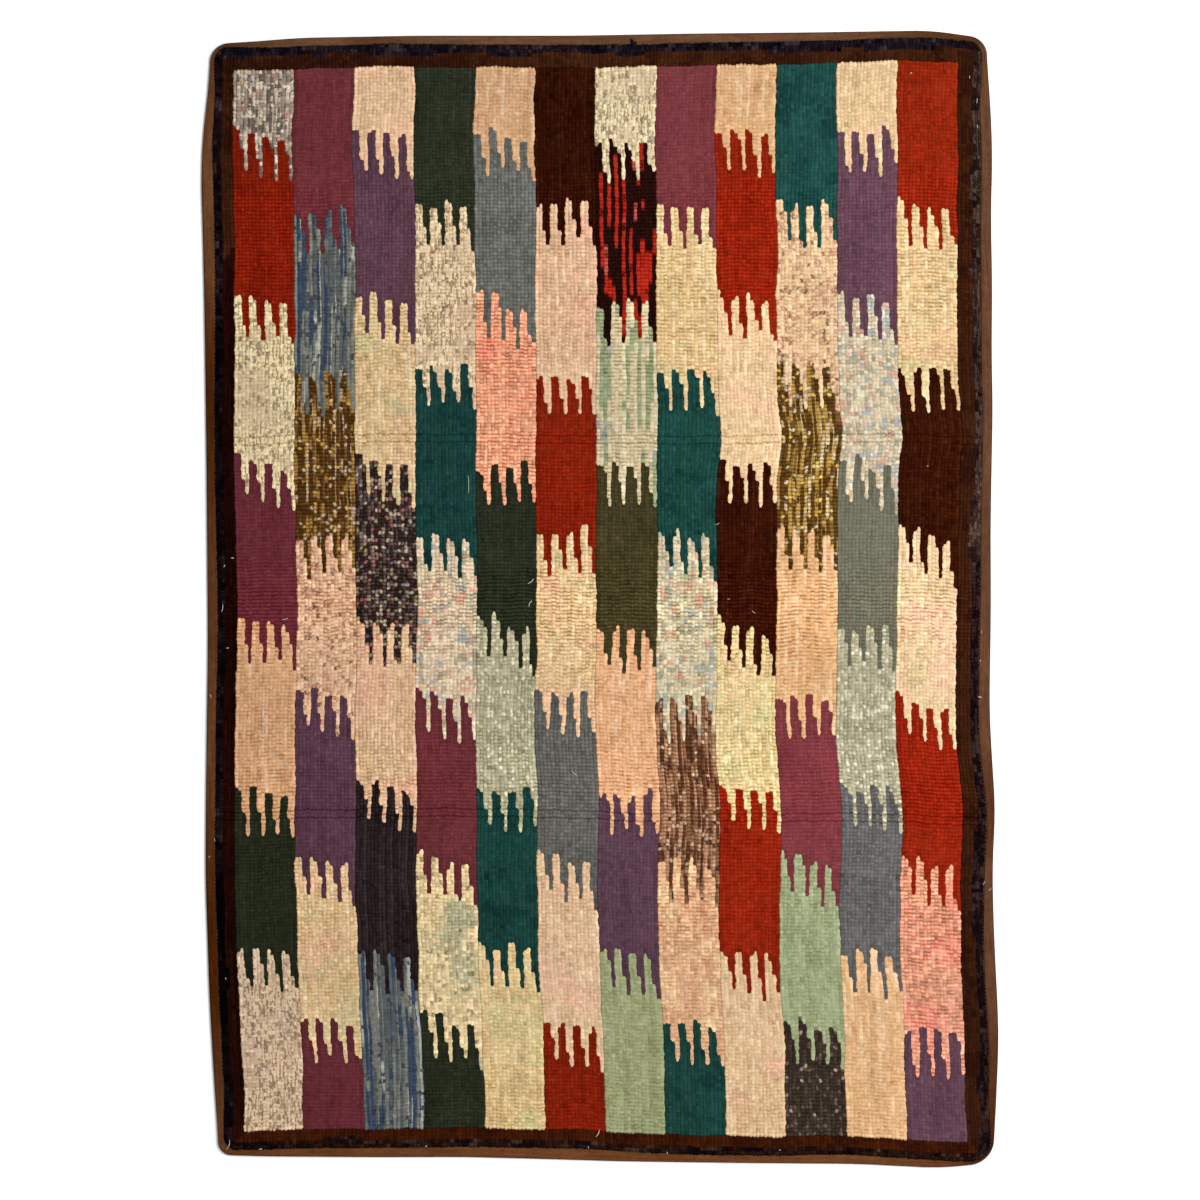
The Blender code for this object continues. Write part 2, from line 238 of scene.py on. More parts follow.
DARK_YARNS = {
    "red": Yarn(7, ((132, 35, 15, 0.7), (126, 32, 13, 0.3)), run=14, spread=0.10, mottle=0.09,
                row_gap=1.1, loop_gap=1.1, stray=0.4),
    "wine": Yarn(6, ((119, 53, 60, 0.7), (114, 50, 55, 0.3)), run=14, spread=0.07, mottle=0.07,
                 row_gap=0.6, loop_gap=0.8),
    "purple": Yarn(5, ((98, 67, 80, 0.7), (93, 62, 75, 0.3)), run=18, spread=0.09, mottle=0.10,
                   row_gap=0.9, loop_gap=0.6),
    "teal": Yarn(5, ((30, 69, 62, 0.7), (27, 64, 58, 0.3)), run=18, clouds=((22, 56, 52, 0.14),),
                 spread=0.1, mottle=0.10, row_gap=1.3, loop_gap=0.6),
    "dark green": Yarn(4, ((44, 49, 35, 0.7), (48, 53, 39, 0.3)), run=18, spread=0.10, mottle=0.10,
                       row_gap=0.9, loop_gap=1.0, stray=0.4),
    "olive": Yarn(1, ((67, 61, 36, 0.7), (62, 56, 32, 0.3)), run=18, spread=0.11, mottle=0.11,
                  row_gap=1.0, loop_gap=0.9),
    "brown": Yarn(3, ((48, 17, 6, 0.7), (54, 23, 9, 0.3)), run=12, thick=2, spread=0.18, mottle=0.14,
                  row_gap=1.4, loop_gap=0.9),
    "charcoal": Yarn(1, ((46, 36, 37, 0.7), (58, 47, 49, 0.3)), run=14, thick=2, spread=0.15, mottle=0.12,
                     row_gap=1.6, loop_gap=0.8),
    "slate": Yarn(3, ((103, 101, 98, 0.7), (97, 95, 92, 0.3)), run=20, spread=0.12, mottle=0.11,
                  row_gap=1.1, loop_gap=0.8),
    "grey green": Yarn(1, ((112, 109, 93, 0.7), (107, 104, 88, 0.3)), run=20,
                       thick=2, spread=0.05, mottle=0.05, row_gap=1.0, loop_gap=0.7),
    "dark tweed": Yarn(1, ((46, 35, 33, 0.7), (88, 71, 67, 0.3)), run=1.5, thick=2,
                       flecks=((184, 166, 148, 0.13), (150, 98, 96, 0.09), (140, 134, 96, 0.05),
                               (120, 112, 112, 0.12)), spread=0.1, row_gap=1.3, loop_gap=1.3, stray=0.9),
    "black tweed": Yarn(1, ((54, 44, 37, 0.7), (67, 56, 47, 0.3)), run=1.5, thick=2,
                        flecks=((170, 156, 138, 0.05), (96, 82, 70, 0.14)), spread=0.1, row_gap=1.2,
                        loop_gap=1.2, stray=0.9),
    "dark streak": Yarn(1, ((94, 61, 43, 0.3), (136, 100, 71, 0.36), (177, 137, 107, 0.34)), run=6, thick=2,
                        flecks=((64, 43, 32, 0.14), (212, 180, 150, 0.09)), spread=0.1, row_gap=1.3,
                        loop_gap=1.3, stray=0.9),
    "mustard": Yarn(2, ((78, 53, 24, 0.54), (152, 120, 62, 0.24), (108, 80, 42, 0.14),
                        (178, 158, 128, 0.08)), run=5, thick=2,
                    flecks=((60, 40, 20, 0.18), (196, 158, 84, 0.06), (184, 166, 138, 0.08)), spread=0.08,
                    row_gap=0.9, loop_gap=1.7, stray=0.8),
    "red and black": Yarn(1, ((146, 38, 25, 0.27), (30, 12, 9, 0.62), (164, 79, 69, 0.11)), run=9,
                          flecks=((38, 14, 11, 0.08),), spread=0.1, row_gap=1.1, loop_gap=1.2, stray=0.8),
}
BORDER_YARNS = {
    "border brown": Yarn(0, ((60, 30, 15, 0.7), (54, 26, 13, 0.3)), run=12, thick=2,
                         clouds=((46, 20, 11, 0.25),), spread=0.1, mottle=0.1, row_gap=1.3, loop_gap=0.7),
    "bottom brown": Yarn(0, ((66, 27, 8, 0.7), (58, 23, 8, 0.3)), run=12, thick=2,
                         clouds=((52, 20, 8, 0.25),), spread=0.1, mottle=0.1, row_gap=1.3, loop_gap=0.7),
    "left brown": Yarn(0, ((29, 8, 4, 0.7), (36, 12, 7, 0.3)), run=12, thick=2, spread=0.15, mottle=0.15,
                       row_gap=1.1, loop_gap=0.7),
    "left black": Yarn(0, ((15, 7, 8, 0.7), (21, 12, 14, 0.3)), run=6, cloud=2.5,
                       clouds=((36, 26, 27, 0.12), (6, 3, 5, 0.3)), spread=0.2, mottle=0.2,
                       row_gap=1.0, loop_gap=0.7),
    "right navy": Yarn(0, ((24, 12, 15, 0.6), (45, 29, 29, 0.4)), run=1.5, thick=1, cloud=2.5,
                       clouds=((18, 10, 15, 0.25), (54, 38, 36, 0.12)), spread=0.14, mottle=0.14,
                       row_gap=1.1, loop_gap=0.7),
    "right grey": Yarn(0, ((48, 31, 27, 0.6), (78, 60, 52, 0.4)), run=1.5, thick=1, cloud=2.5,
                       clouds=((32, 18, 18, 0.2), (80, 62, 54, 0.1)), spread=0.14, mottle=0.14,
                       row_gap=1.1, loop_gap=0.7),
    "top navy": Yarn(0, ((26, 18, 24, 0.7), (35, 27, 32, 0.3)), run=1, thick=1, cloud=2.5,
                     clouds=((13, 11, 21, 0.28), (56, 44, 48, 0.12)), spread=0.2, mottle=0.2, row_gap=1.1,
                     loop_gap=0.8),
    "bottom black": Yarn(0, ((34, 17, 13, 0.7), (45, 26, 20, 0.3)), run=1, thick=1, cloud=2.5,
                         clouds=((19, 11, 13, 0.22), (60, 40, 31, 0.12)), spread=0.2, mottle=0.2,
                         row_gap=1.1, loop_gap=0.8),
}
YARNS = {**LIGHT_YARNS, **DARK_YARNS, **BORDER_YARNS}
YARN_NAMES = list(YARNS)


class Band(NamedTuple):
    """A band of one yarn in the border."""

    side: str
    yarn: str
    start: float = 0.0  # how many rows of loops lie between it and the tape
    after: float = 0.0  # the shares of the side's length that it begins and ends at
    until: float = 1.0
    tones: tuple = ((0.0, 1.0),)  # shares of the side's length, and how bright the yarn is there


BANDS = (
    Band("left", "left black", tones=(
        (0.19, 2.3), (0.24, 0.85), (0.37, 1.1), (0.42, 1.5), (0.50, 1.5), (0.58, 1.2),
        (0.63, 1.7), (0.72, 1.7), (0.755, 0.45), (0.86, 0.5), (0.90, 0.8), (0.95, 1.8),
    )),
    Band("left", "border brown", start=1.7, until=0.20),
    Band("left", "left brown", start=1.9, after=0.20, tones=(
        (0.25, 1.0), (0.45, 0.85), (0.58, 1.1), (0.72, 1.2), (0.80, 0.9), (0.90, 1.1), (1.0, 1.7),
    )),
    Band("right", "right grey", until=0.46, tones=(
        (0.0, 0.65), (0.06, 0.9), (0.12, 0.85), (0.20, 0.85), (0.30, 0.75), (0.36, 1.1), (0.42, 1.3),
    )),
    Band("right", "right navy", after=0.46, tones=((0.6, 1.0), (0.7, 0.85), (0.9, 1.0))),
    Band("right", "border brown", start=1.9, tones=((0.60, 1.0), (0.80, 0.88), (1.0, 1.0))),
    Band("top", "top navy", tones=((0.3, 1.0), (0.7, 0.9))),
    Band("top", "border brown", start=1.95, tones=((0.2, 1.05), (0.5, 1.25), (0.9, 1.1))),
    Band("bottom", "bottom black"),
    Band("bottom", "bottom brown", start=1.8),
)
# How many rows the lines between bands stray by, with the cells of that noise across and along the rug.
WAVER = ((0.3, (30, 44)), (0.2, (5, 8)))
END_WAVER = 0.03  # the share of a side's length that the ends of its bands stray by

# Stains: their places, their reach across and along the rug in mm, and how strong they are.
STAINS = (
    # x, y, across, along, strength
    (-301.3, -8.5, 4.0, 7.0, 0.75),
    (-297.7, 127.9, 9.0, 8.0, 0.35),
    (-240.0, -459.4, 12.0, 4.0, 0.30),
    (204.2, -115.9, 4.0, 5.0, 0.45),
    (-268.0, -430.0, 20.0, 10.0, 0.10),
    (120.0, 60.0, 9.0, 7.0, 0.25),
)
STAIN = (0.45, 0.62, 0.75)  # the share of red, green and blue light that the strongest stain takes

LIFT = 0.73  # how much more light the studio gives than the photo's
DYE_SPREAD = {"light": 0.08, "dark": 0.15}  # how much the blocks of one yarn differ in tone
TINT_SPREAD = 0.04  # and how much in each of their three colour channels
# Painted light, as if a lamp shone from the right and the top. Dark yarns get more of it, as painted sheen.
PAINTED_SIDE_LIGHT = {  # how much brighter painted light makes the rug at its right side and its top, and duller at the others
    "light": {"right": 0.09, "top": 0.0},
    "dark": {"right": 0.21, "top": 0.11},
}
EDGE_LIFT = 0.10  # how much light loops beside dark ones catch the light
EDGE_SHADE = 0.14  # how much light loops shade dark ones beside them
LIGHT_SHADE = 0.30  # how much a mm of depth shades the gaps of a light yarn
DARK_SHADE = 0.48  # and of a dark one
DEEPEST_SHADE = 0.3  # the light that is left in the deepest shade
SPILL = 0.13  # the share of a yarn's light that comes out of its gaps, where its colour is stronger
UNEVEN_GAPS = {"light": 0.75, "dark": 0.35}  # how much the shades of single gaps differ

# The rug lies in soft waves, which open the gaps between a row's loops at some heights of the picture and
# those between rows at others. y is in mm.
LOOPS_OPEN = {
    "y": (-560, -520, -460, -410, -350, -300, -255, -216, -185, -150, -110, -70, -34,
          -8, 18, 50, 96, 140, 200, 290, 380, 408, 434, 465, 490, 560),
    "by": (1.1, 1.0, 0.88, 0.84, 1.05, 1.12, 1.1, 1.6, 1.4, 1.15, 1.03, 1.3, 1.75,
           2.2, 1.75, 1.2, 1.05, 1.1, 0.86, 1.3, 1.32, 1.25, 1.4, 1.05, 0.95, 0.92),
}
ROWS_OPEN = {
    "y": (-560, -460, -350, -255, -150, -70, 20, 96, 200, 380, 434, 490, 560),
    "by": (0.72, 0.58, 0.78, 0.75, 0.95, 0.72, 0.82, 0.85, 0.75, 0.82, 1.02, 0.76, 0.8),
}
MOST_OPEN = 1.5  # how much more than usual the gaps' own depth gets at most

CREST_AT = (0.27, 0.73)  # where the two lines of points over a loop's top lie, across its row
PIT = {"dark": 0.7, "deep": 0.5}  # what a pit's shade and depth take of the gaps that meet in it
GAP_SPREAD = (0.4, 1.4)  # how deep single gaps are beside the usual, at least and at most
LOOP_LIFT = 0.26 * MM  # how unevenly the loops stand
PATCH_LIFT = 0.7  # how unevenly patches of them do, beside that
MOST_LIFT = 2.2 * LOOP_LIFT
LOOP_LEAN = 0.13 * MM  # how far one side of a loop stands above the other
LOOP_SHIFT = 0.28 * MM  # how far single loops lie off their grid
GAP_SHIFT = 0.48 * MM  # how far the gaps between a row's loops do
MOST_SHIFT = 2  # how many times as far as that they do at most
LINE_SHIFT = 0.62 * MM  # how far the gaps between rows do
SCALLOP = 0.7 * MM  # how far a light loop bulges over a dark one that is next in its row
RAGGED = (-0.6 * MM, 0.45 * MM)  # and over one in the row beside it, at least and at most
TIP_ROUND = {"across": 0.5 * MM, "along": 1.05 * MM}  # how far corners of the fingers' tips are drawn in
RIM_BULGE = (0.3 * MM, 1.3 * MM)  # how far the outermost loops lean over the tape, at least and at most
RIM_LIFT = 0.5 * MM  # and how much less deep their outer gaps are
WANDER = 0.9 * MM  # how far whole rows stray
WANDER_CELLS = {"across": ((26, 22), (60, 40)), "along": ((30, 20), (50, 30))}
STEADY_EDGE = 8.0 * MM  # how near the edge the rows start to stray
CREASE_GAP = (0.0, 1.44 * MM)  # how much deeper the gaps in a crease are, at least and at most
CREASE_SPREAD = (0.3, 1.7)  # and how much of the crease's usual light they have
LOWEST_PIT = HEM["high"] + 0.4 * MM

# The photo's frame, which the camera repeats, is 1200 pixels wide, and the rug lies just off its middle.
FRAME_WIDTH = 1200 * 1.0835 * MM
FRAME_CENTRE = (0.06 * MM, -1.05 * MM)
CAMERA_HEIGHT = 4.0
SENSOR = 36.0
LAMP_AT = (1.45, 0.35, 2.6)
LAMP_POWER = 92.0
LAMP_SIZE = 1.6
WORLD_LIGHT = 0.55
FLOOR_REACH = 15.0
FLOOR_DROP = 0.2 * MM


def smooth_noise(random, shape, cells):
    """Soft random numbers from -1 to 1 over a grid of that shape, with this many cells each way."""
    coarse = random.uniform(-1, 1, (cells[0] + 1, cells[1] + 1))
    places = [np.linspace(0, count, size, endpoint=False) for count, size in zip(cells, shape)]
    low = [place.astype(int) for place in places]
    part = [(place - start) for place, start in zip(places, low)]
    ease = [p * p * (3 - 2 * p) for p in part]
    i, j = np.ix_(low[0], low[1])
    s, t = ease[0][:, None], ease[1][None, :]
    near = coarse[i, j] * (1 - t) + coarse[i, j + 1] * t
    far = coarse[i + 1, j] * (1 - t) + coarse[i + 1, j + 1] * t
    return near * (1 - s) + far * s


def over_loops(random, *cells):
    """Soft random numbers from -1 to 1, one for each loop."""
    return smooth_noise(random, LOOP_GRID, cells)


def linear(colour):
    """sRGB from 0 to 255 as linear light."""
    value = np.asarray(colour, float) / 255
    return np.where(value <= 0.04045, value / 12.92, ((value + 0.055) / 1.055) ** 2.4)


# ---- The plan ----


def reading(table, column, share):
    """A table's column at this share of a side's length, with its corners eased."""
    readings = [np.interp(share + EASE * k, table["share"], table[column]) for k in (-1, -0.5, 0, 0.5, 1)]
    return np.mean(readings, axis=0)


def out_of_true(side, share):
    """How far a side lies outside the true rectangle at this share of its length."""
    return reading(SIDES[side], "out", share) * MM


def tape_width(side, share):
    """How much of the tape shows in front, which narrows towards both corners of the side."""
    ends = ("top", "bottom") if side in ("left", "right") else ("left", "right")
    length = LENGTH if side in ("left", "right") else WIDTH
    width = reading(TAPE_ALONG[side], "shows", share) * MM
    for end, away in zip(ends, (share * length, (1 - share) * length)):
        corner = CORNERS[(side, end) if side in ("left", "right") else (end, side)]
        near = np.maximum(0.0, 1 - away / CORNER_REACH)
        width = width + (corner["tape"] - width) * near * near * (3 - 2 * near)
    return width


def rounded(x, y, which):
    """Points of the true rectangle, drawn in so that each of its corners is an arc."""
    x, y = x.copy(), y.copy()
    for (side, end), corner in CORNERS.items():
        sign_x = -1 if side == "left" else 1
        sign_y = -1 if end == "bottom" else 1
        centre_x, centre_y = HALF_X - corner[which], HALF_Y - corner[which]
        off_x, off_y = sign_x * x - centre_x, sign_y * y - centre_y
        here = (off_x > 0) & (off_y > 0)
        pull = np.maximum(off_x, off_y)[here] / np.hypot(off_x, off_y)[here]
        x[here] = sign_x * (centre_x + off_x[here] * pull)
        y[here] = sign_y * (centre_y + off_y[here] * pull)
    return x, y


def strayed(x, y, inside):
    """Where points of the true rectangle really lie. inside(side, share) is what is left free there."""
    down, along = 0.5 - y / LENGTH, 0.5 + x / WIDTH
    left = -HALF_X - out_of_true("left", down) + inside("left", down)
    right = HALF_X + out_of_true("right", down) - inside("right", down)
    top = HALF_Y + out_of_true("top", along) - inside("top", along)
    bottom = -HALF_Y - out_of_true("bottom", along) + inside("bottom", along)
    return left + (right - left) * along, top + (bottom - top) * down


def outline_at(x, y):
    return strayed(*rounded(x, y, "radius"), lambda side, share: 0.0)


def pile_at(x, y):
    return strayed(*rounded(x, y, "pile_radius"), tape_width)


def pile_height(nominal_x, nominal_y, real_x, real_y):
    """The top of the loops: flat, but for the shoulder, the creases and the swells."""
    inset = np.minimum(HALF_X - abs(nominal_x), HALF_Y - abs(nominal_y))
    height = PILE_TOP - np.interp(inset / MM, SHOULDER["inset"], SHOULDER["drop"]) * MM
    for crease in CREASES:
        near = np.maximum(0.0, 1 - abs(nominal_y - crease["y"]) / crease["reach"])
        height = height - crease["depth"] * near
    for swell in SWELLS:
        turns = swell["across"] * real_x / WIDTH + swell["along"] * real_y / LENGTH
        height = height + swell["height"] * (np.sin(2 * math.pi * turns + swell["start"]) - 1)
    return height


def round_the_rim(step):
    """Points of the true rectangle's sides, about a step apart, anticlockwise from the bottom left."""
    across, up = round(WIDTH / step), round(LENGTH / step)
    x = np.linspace(-HALF_X, HALF_X, across, endpoint=False)
    y = np.linspace(-HALF_Y, HALF_Y, up, endpoint=False)
    around_x = np.concatenate((x, np.full(up, HALF_X), -x, np.full(up, -HALF_X)))
    around_y = np.concatenate((np.full(across, -HALF_Y), y, np.full(across, HALF_Y), -y))
    return around_x, around_y


def middle_of_outline():
    """The middle of the outline, which the model has at its origin."""
    x, y = outline_at(*round_the_rim(OUTLINE_STEP))
    return (x.min() + x.max()) / 2, (y.min() + y.max()) / 2


# ---- The chart ----


def give_or_take(random, most):
    return random.uniform(-most, most)


def block_numbers(random):
    """For each loop of the field, how many finger lines lie above it in its column."""
    number = np.zeros((FIELD_ROWS, FIELD_LOOPS), int)
    loops = np.arange(FIELD_LOOPS)
    for column in range(COLUMNS):
        for boundary in range(BOUNDARIES):
            base = FIRST_TIP[column % 2] + boundary * BLOCK_LOOPS + FINGERS[0][0]
            base += give_or_take(random, ASTRAY["line"])
            slope = random.uniform(*ASTRAY["slope"])
            for k in range(COLUMN_ROWS):
                if k % FINGER_ROWS == 0:
                    rises = np.array(FINGERS[random.choice(len(FINGERS))], float)
                    rises[:3] += give_or_take(random, ASTRAY["finger"])
                    rises[2] += give_or_take(random, ASTRAY["third"])
                front = base + slope * (k - COLUMN_ROWS / 2) - rises[k % FINGER_ROWS]
                front += give_or_take(random, ASTRAY["row"])
                number[column * COLUMN_ROWS + k] += loops >= round(front)
    return number


def deal(random, yarns, spots, near):
    """Gives each spot a yarn out of a shuffled deck, so that no two near spots have the same."""
    deck = [name for name, yarn in yarns.items() for _ in range(yarn.blocks)]
    for _ in range(MOST_DEALS):
        left = [deck[k] for k in random.permutation(len(deck))]
        given = {}
        for spot in spots:
            taken = {given.get(other) for other in near(spot)}
            choice = next((name for name in left if name not in taken), None)
            if choice is None:
                break
            left.remove(choice)
            given[spot] = choice
        else:
            return given
    raise RuntimeError("the yarns can't be dealt")


def near_spots(spot):
    """The blocks of like tone that lie about this one: two above, and those beside it."""
    column, block = spot
    beside = [(column - 1, block + k) for k in (-1, 0, 1)]
    return [(column, block - 2), (column - 2, block), (column - 2, block - 2), *beside]


def deal_blocks(random):
    """The yarn of every block, as {(column, block): name}. Light and dark blocks take turns."""
    spots = [(column, block) for column in range(COLUMNS) for block in range(BOUNDARIES + 1)]
    light = [spot for spot in spots if sum(spot) % 2 == 0]
    dark = [spot for spot in spots if sum(spot) % 2 == 1]
    return {**deal(random, LIGHT_YARNS, light, near_spots), **deal(random, DARK_YARNS, dark, near_spots)}


def chart_loops(random):
    """The number of the yarn, and the tone and tint of its dye lot, for each loop of the whole rug."""
    chart = np.zeros(LOOP_GRID, int)
    tone = np.ones((*LOOP_GRID, 3))
    number = block_numbers(random)
    field = (
        slice(BORDER["left"], ROWS - BORDER["right"]),
        slice(BORDER["top"], LOOPS - BORDER["bottom"]),
    )
    column = np.arange(FIELD_ROWS)[:, None] // COLUMN_ROWS
    for (c, block), name in deal_blocks(random).items():
        here = (column == c) & (number == block)
        chart[field][here] = YARN_NAMES.index(name)
        kind = "light" if name in LIGHT_YARNS else "dark"
        tint = 1 + TINT_SPREAD * random.uniform(-1, 1, 3)
        tone[field][here] = tint * (1 + DYE_SPREAD[kind] * random.uniform(-1, 1))
    chart_borders(random, chart, tone)
    return chart, stained(tone)


def chart_borders(random, chart, tone):
    """The dark borders: bands with uneven lines between them."""
    row, loop = np.indices(LOOP_GRID)
    from_side = {"left": row, "right": ROWS - 1 - row, "top": loop, "bottom": LOOPS - 1 - loop}
    nearest = np.argmin([away / BORDER[side] for side, away in from_side.items()], axis=0)
    for band in BANDS:
        away = from_side[band.side]
        here = (away < BORDER[band.side]) & (nearest == list(from_side).index(band.side))
        share = loop / LOOPS if band.side in ("left", "right") else row / ROWS
        waver = sum(by * over_loops(random, *cells) for by, cells in WAVER)
        begins = band.start + waver if band.start else 0.0
        place = np.clip(share + END_WAVER * over_loops(random, 30, 44), 0, 1)
        here &= (away >= begins) & (place >= band.after) & (place <= band.until + END_WAVER)
        chart[here] = YARN_NAMES.index(band.yarn)
        tone[here] = np.interp(share, *zip(*band.tones))[here][:, None]


def stained(tone):
    """The tones with the stains in them."""
    row, loop = np.indices(LOOP_GRID)
    x = (row + 0.5) * WIDTH / ROWS - HALF_X
    y = HALF_Y - (loop + 0.5) * LENGTH / LOOPS
    for stain_x, stain_y, across, along, strength in STAINS:
        away = np.hypot((x / MM - stain_x) / across, (y / MM - stain_y) / along)
        tone = tone * (1 - strength * np.exp(-away ** 2)[:, :, None] * STAIN)
    return tone


# ---- The loops' colours ----


def strand_runs(random, shape, run, shares):
    """Which of the colours shows at each place. It changes once in `run` places along a row, on average."""
    picks = random.choice(len(shares), size=shape, p=shares)
    fresh = random.random(shape) < 1 / run
    fresh[:, 0] = True
    last = np.maximum.accumulate(np.where(fresh, np.arange(shape[1]), 0), axis=1)
    return np.take_along_axis(picks, last, axis=1)


PATCH = {"grain": 0.35, "edge": 0.3}  # how grainy a soft patch is, and how soft its edge


def soft_patches(random, share, size):
    """1 in soft patches of so many loops that cover this share of the rug, and 0 elsewhere."""
    cloud = over_loops(random, round(ROWS / size), round(LOOPS / size))
    cloud = cloud + PATCH["grain"] * random.uniform(-1, 1, cloud.shape)
    return np.clip((cloud - np.quantile(cloud, 1 - share)) / PATCH["edge"] + 0.5, 0, 1)


def on_faces(values):
    """Values for loops, repeated for each of a loop's six faces."""
    return np.repeat(np.repeat(values, STRANDS, axis=0), STEPS, axis=1)


# How much of a loop's three strands, in its two halves, a dab of colour covers. It lies aslant, as yarn is
# twisted.
DAB = np.array(((0.85, 0.2), (1.0, 1.0), (0.2, 0.85)))
DAB_STRENGTH = (0.6, 1.0)


def dabs(random, share):
    """How much of each face a dab of colour covers, where this share of all loops has one."""
    strength = (random.random(LOOP_GRID) < share) * random.uniform(*DAB_STRENGTH, LOOP_GRID)
    slant = random.integers(0, 2, LOOP_GRID)
    cover = np.stack((DAB, DAB[::-1]))[slant] * strength[:, :, None, None]
    return cover.transpose(0, 2, 1, 3).reshape(ROWS * STRANDS, HALVES)


# Which of the changing strands each of a loop's three strands goes with, by how many change together.
STRAND_GROUPS = {3: (0, 0, 0), 2: (0, 0, 1), 1: (0, 1, 2)}
BLENDED_RUN = 4  # colours that last longer than this many loops run into each other


def yarn_colours(random, yarn):
    """The colours of one yarn, as if the whole rug were hooked with it: (strands, halves of loops, 3)."""
    strands = np.array(yarn.strands, float)
    shares = strands[:, 3] / strands[:, 3].sum()
    groups = STRAND_GROUPS[yarn.thick]
    wide = max(groups) + 1
    picks = strand_runs(random, (ROWS * wide, HALVES), yarn.run * STEPS, shares)
    colours = linear(strands[:, :3])[picks]
    if yarn.run > BLENDED_RUN:
        colours[:, 1:-1] = (colours[:, :-2] + 2 * colours[:, 1:-1] + colours[:, 2:]) / 4
    colours = colours.reshape(ROWS, wide, HALVES, 3)[:, groups].reshape(ROWS * STRANDS, HALVES, 3)
    for *colour, share in yarn.clouds:
        patch = on_faces(soft_patches(random, share, yarn.cloud))
        colours = colours + (linear(colour) - colours) * patch[:, :, None]
    for *colour, share in yarn.flecks:
        colours = colours + (linear(colour) - colours) * dabs(random, share)[:, :, None]
    return colours


def opened():
    """How far the gaps between rows, and those between a row's loops, stand open at each loop of a row."""
    y = (HALF_Y - LENGTH * (np.arange(LOOPS) + 0.5) / LOOPS) / MM
    return [np.interp(y, table["y"], table["by"]) for table in (ROWS_OPEN, LOOPS_OPEN)]


def gap_shades(row_gap, loop_gap, per_mm):
    """How bright the gaps between rows, those between loops, and the pits look beside the loops' tops."""
    depths = (row_gap, loop_gap, PIT["dark"] * (row_gap + loop_gap))
    return [np.clip(1 - per_mm * depth, 0, 1) for depth in depths]


def mean_shade(yarn, per_mm):
    """How bright a yarn looks as a whole beside its loops' tops, at each loop of a row."""
    rows_open, loops_open = opened()
    shades = gap_shades(yarn.row_gap * rows_open, yarn.loop_gap * loops_open, per_mm)
    eased = [share * share * (3 - 2 * share) for share in shades]
    row_line, loop_line, pit = (DEEPEST_SHADE + (1 - DEEPEST_SHADE) * share for share in eased)
    crest, gap = CREST_AT[1], CREST_AT[0]  # the shares of a row's width
    return crest * (1 + loop_line) / 2 + gap * (row_line + pit) / 2


def light_of(chart):
    """1 where a loop is of a light yarn, and 0 elsewhere."""
    return (chart < len(LIGHT_YARNS)).astype(float)


def edge_tones(chart):
    """How much brighter or darker loops are where light and dark yarns meet."""
    light = np.pad(light_of(chart), 1, mode="edge")
    beside = np.stack((light[:-2, 1:-1], light[2:, 1:-1], light[1:-1, :-2], light[1:-1, 2:]))
    own = light[1:-1, 1:-1]
    return 1 + EDGE_LIFT * own * (1 - beside.min(axis=0)) - EDGE_SHADE * (1 - own) * beside.max(axis=0)


def side_light_paint(kind):
    """Painted light: how much brighter the rug's colours are made from side to side, in loops of light or of
    dark yarn.
    """
    row, loop = np.linspace(-1, 1, ROWS)[:, None], np.linspace(1, -1, LOOPS)[None, :]
    return 1 + PAINTED_SIDE_LIGHT[kind]["right"] * row + PAINTED_SIDE_LIGHT[kind]["top"] * loop


MOTTLE = ((1.0, (34, 50)), (0.6, (90, 130)))  # sizes of a yarn's patches of tone, and their cells
STRAND_SPREAD = 0.04  # how much single strands differ in tone
LIGHT_LIMITS = (0.001, 0.92)  # the darkest and the brightest that a strand gets


def loop_colours(random, chart, tone):
    """The colour of each face of the loops' tops, as linear light: (strands, halves of loops, 3)."""
    colours = np.zeros((ROWS * STRANDS, HALVES, 3))
    patches = sum(by * over_loops(random, *cells) for by, cells in MOTTLE)
    even = on_faces(tone * edge_tones(chart)[:, :, None])
    for number, name in enumerate(YARN_NAMES):
        yarn = YARNS[name]
        kind = "light" if name in LIGHT_YARNS else "dark"
        single = 1 + yarn.spread * random.standard_normal(LOOP_GRID) + yarn.mottle * patches
        lift = LIFT / mean_shade(yarn, LIGHT_SHADE if kind == "light" else DARK_SHADE)
        # Painted light from the right and the top, which the borders don't get.
        painted_light = 1.0 if name in BORDER_YARNS else side_light_paint(kind)
        own = yarn_colours(random, yarn) * on_faces(lift * single * painted_light)[:, :, None] * even
        here = on_faces(chart == number)
        colours[here] = own[here]
    level = colours.mean(axis=2, keepdims=True)
    colours /= 1 + SPILL * (colours / level - 1)
    colours *= 1 + STRAND_SPREAD * random.standard_normal((ROWS * STRANDS, HALVES, 1))
    return np.clip(colours, *LIGHT_LIMITS)


# ---- The loops' surface ----


def yarn_values(chart, column):
    return np.array([getattr(YARNS[name], column) for name in YARN_NAMES])[chart]


def between(values, axis):
    """The means of neighbours along an axis, with the end values kept, so one longer than before."""
    pad = [(0, 0), (0, 0)]
    pad[axis] = (1, 1)
    padded = np.pad(values, pad, mode="edge")
    low = np.take(padded, range(padded.shape[axis] - 1), axis)
    high = np.take(padded, range(1, padded.shape[axis]), axis)
    return (low + high) / 2


def on_points(crest, row_line, loop_line, pit):
    """Values for the points of the fine grid, from those for loops' tops, gaps and the pits between."""
    points = np.zeros(POINT_GRID)
    points[1::3, 1::2] = crest
    points[2::3, 1::2] = crest
    points[0::3, 1::2] = row_line
    points[1::3, 0::2] = loop_line
    points[2::3, 0::2] = loop_line
    points[0::3, 0::2] = pit
    return points


def crease_lines():
    """The gaps that each crease opens, one on each side of a loop, and the light that is left in them."""
    for crease in CREASES:
        middle = round((HALF_Y - crease["y"]) / LENGTH * LOOPS)
        for line in (middle - 1, middle + 1):
            yield line, crease["light"]


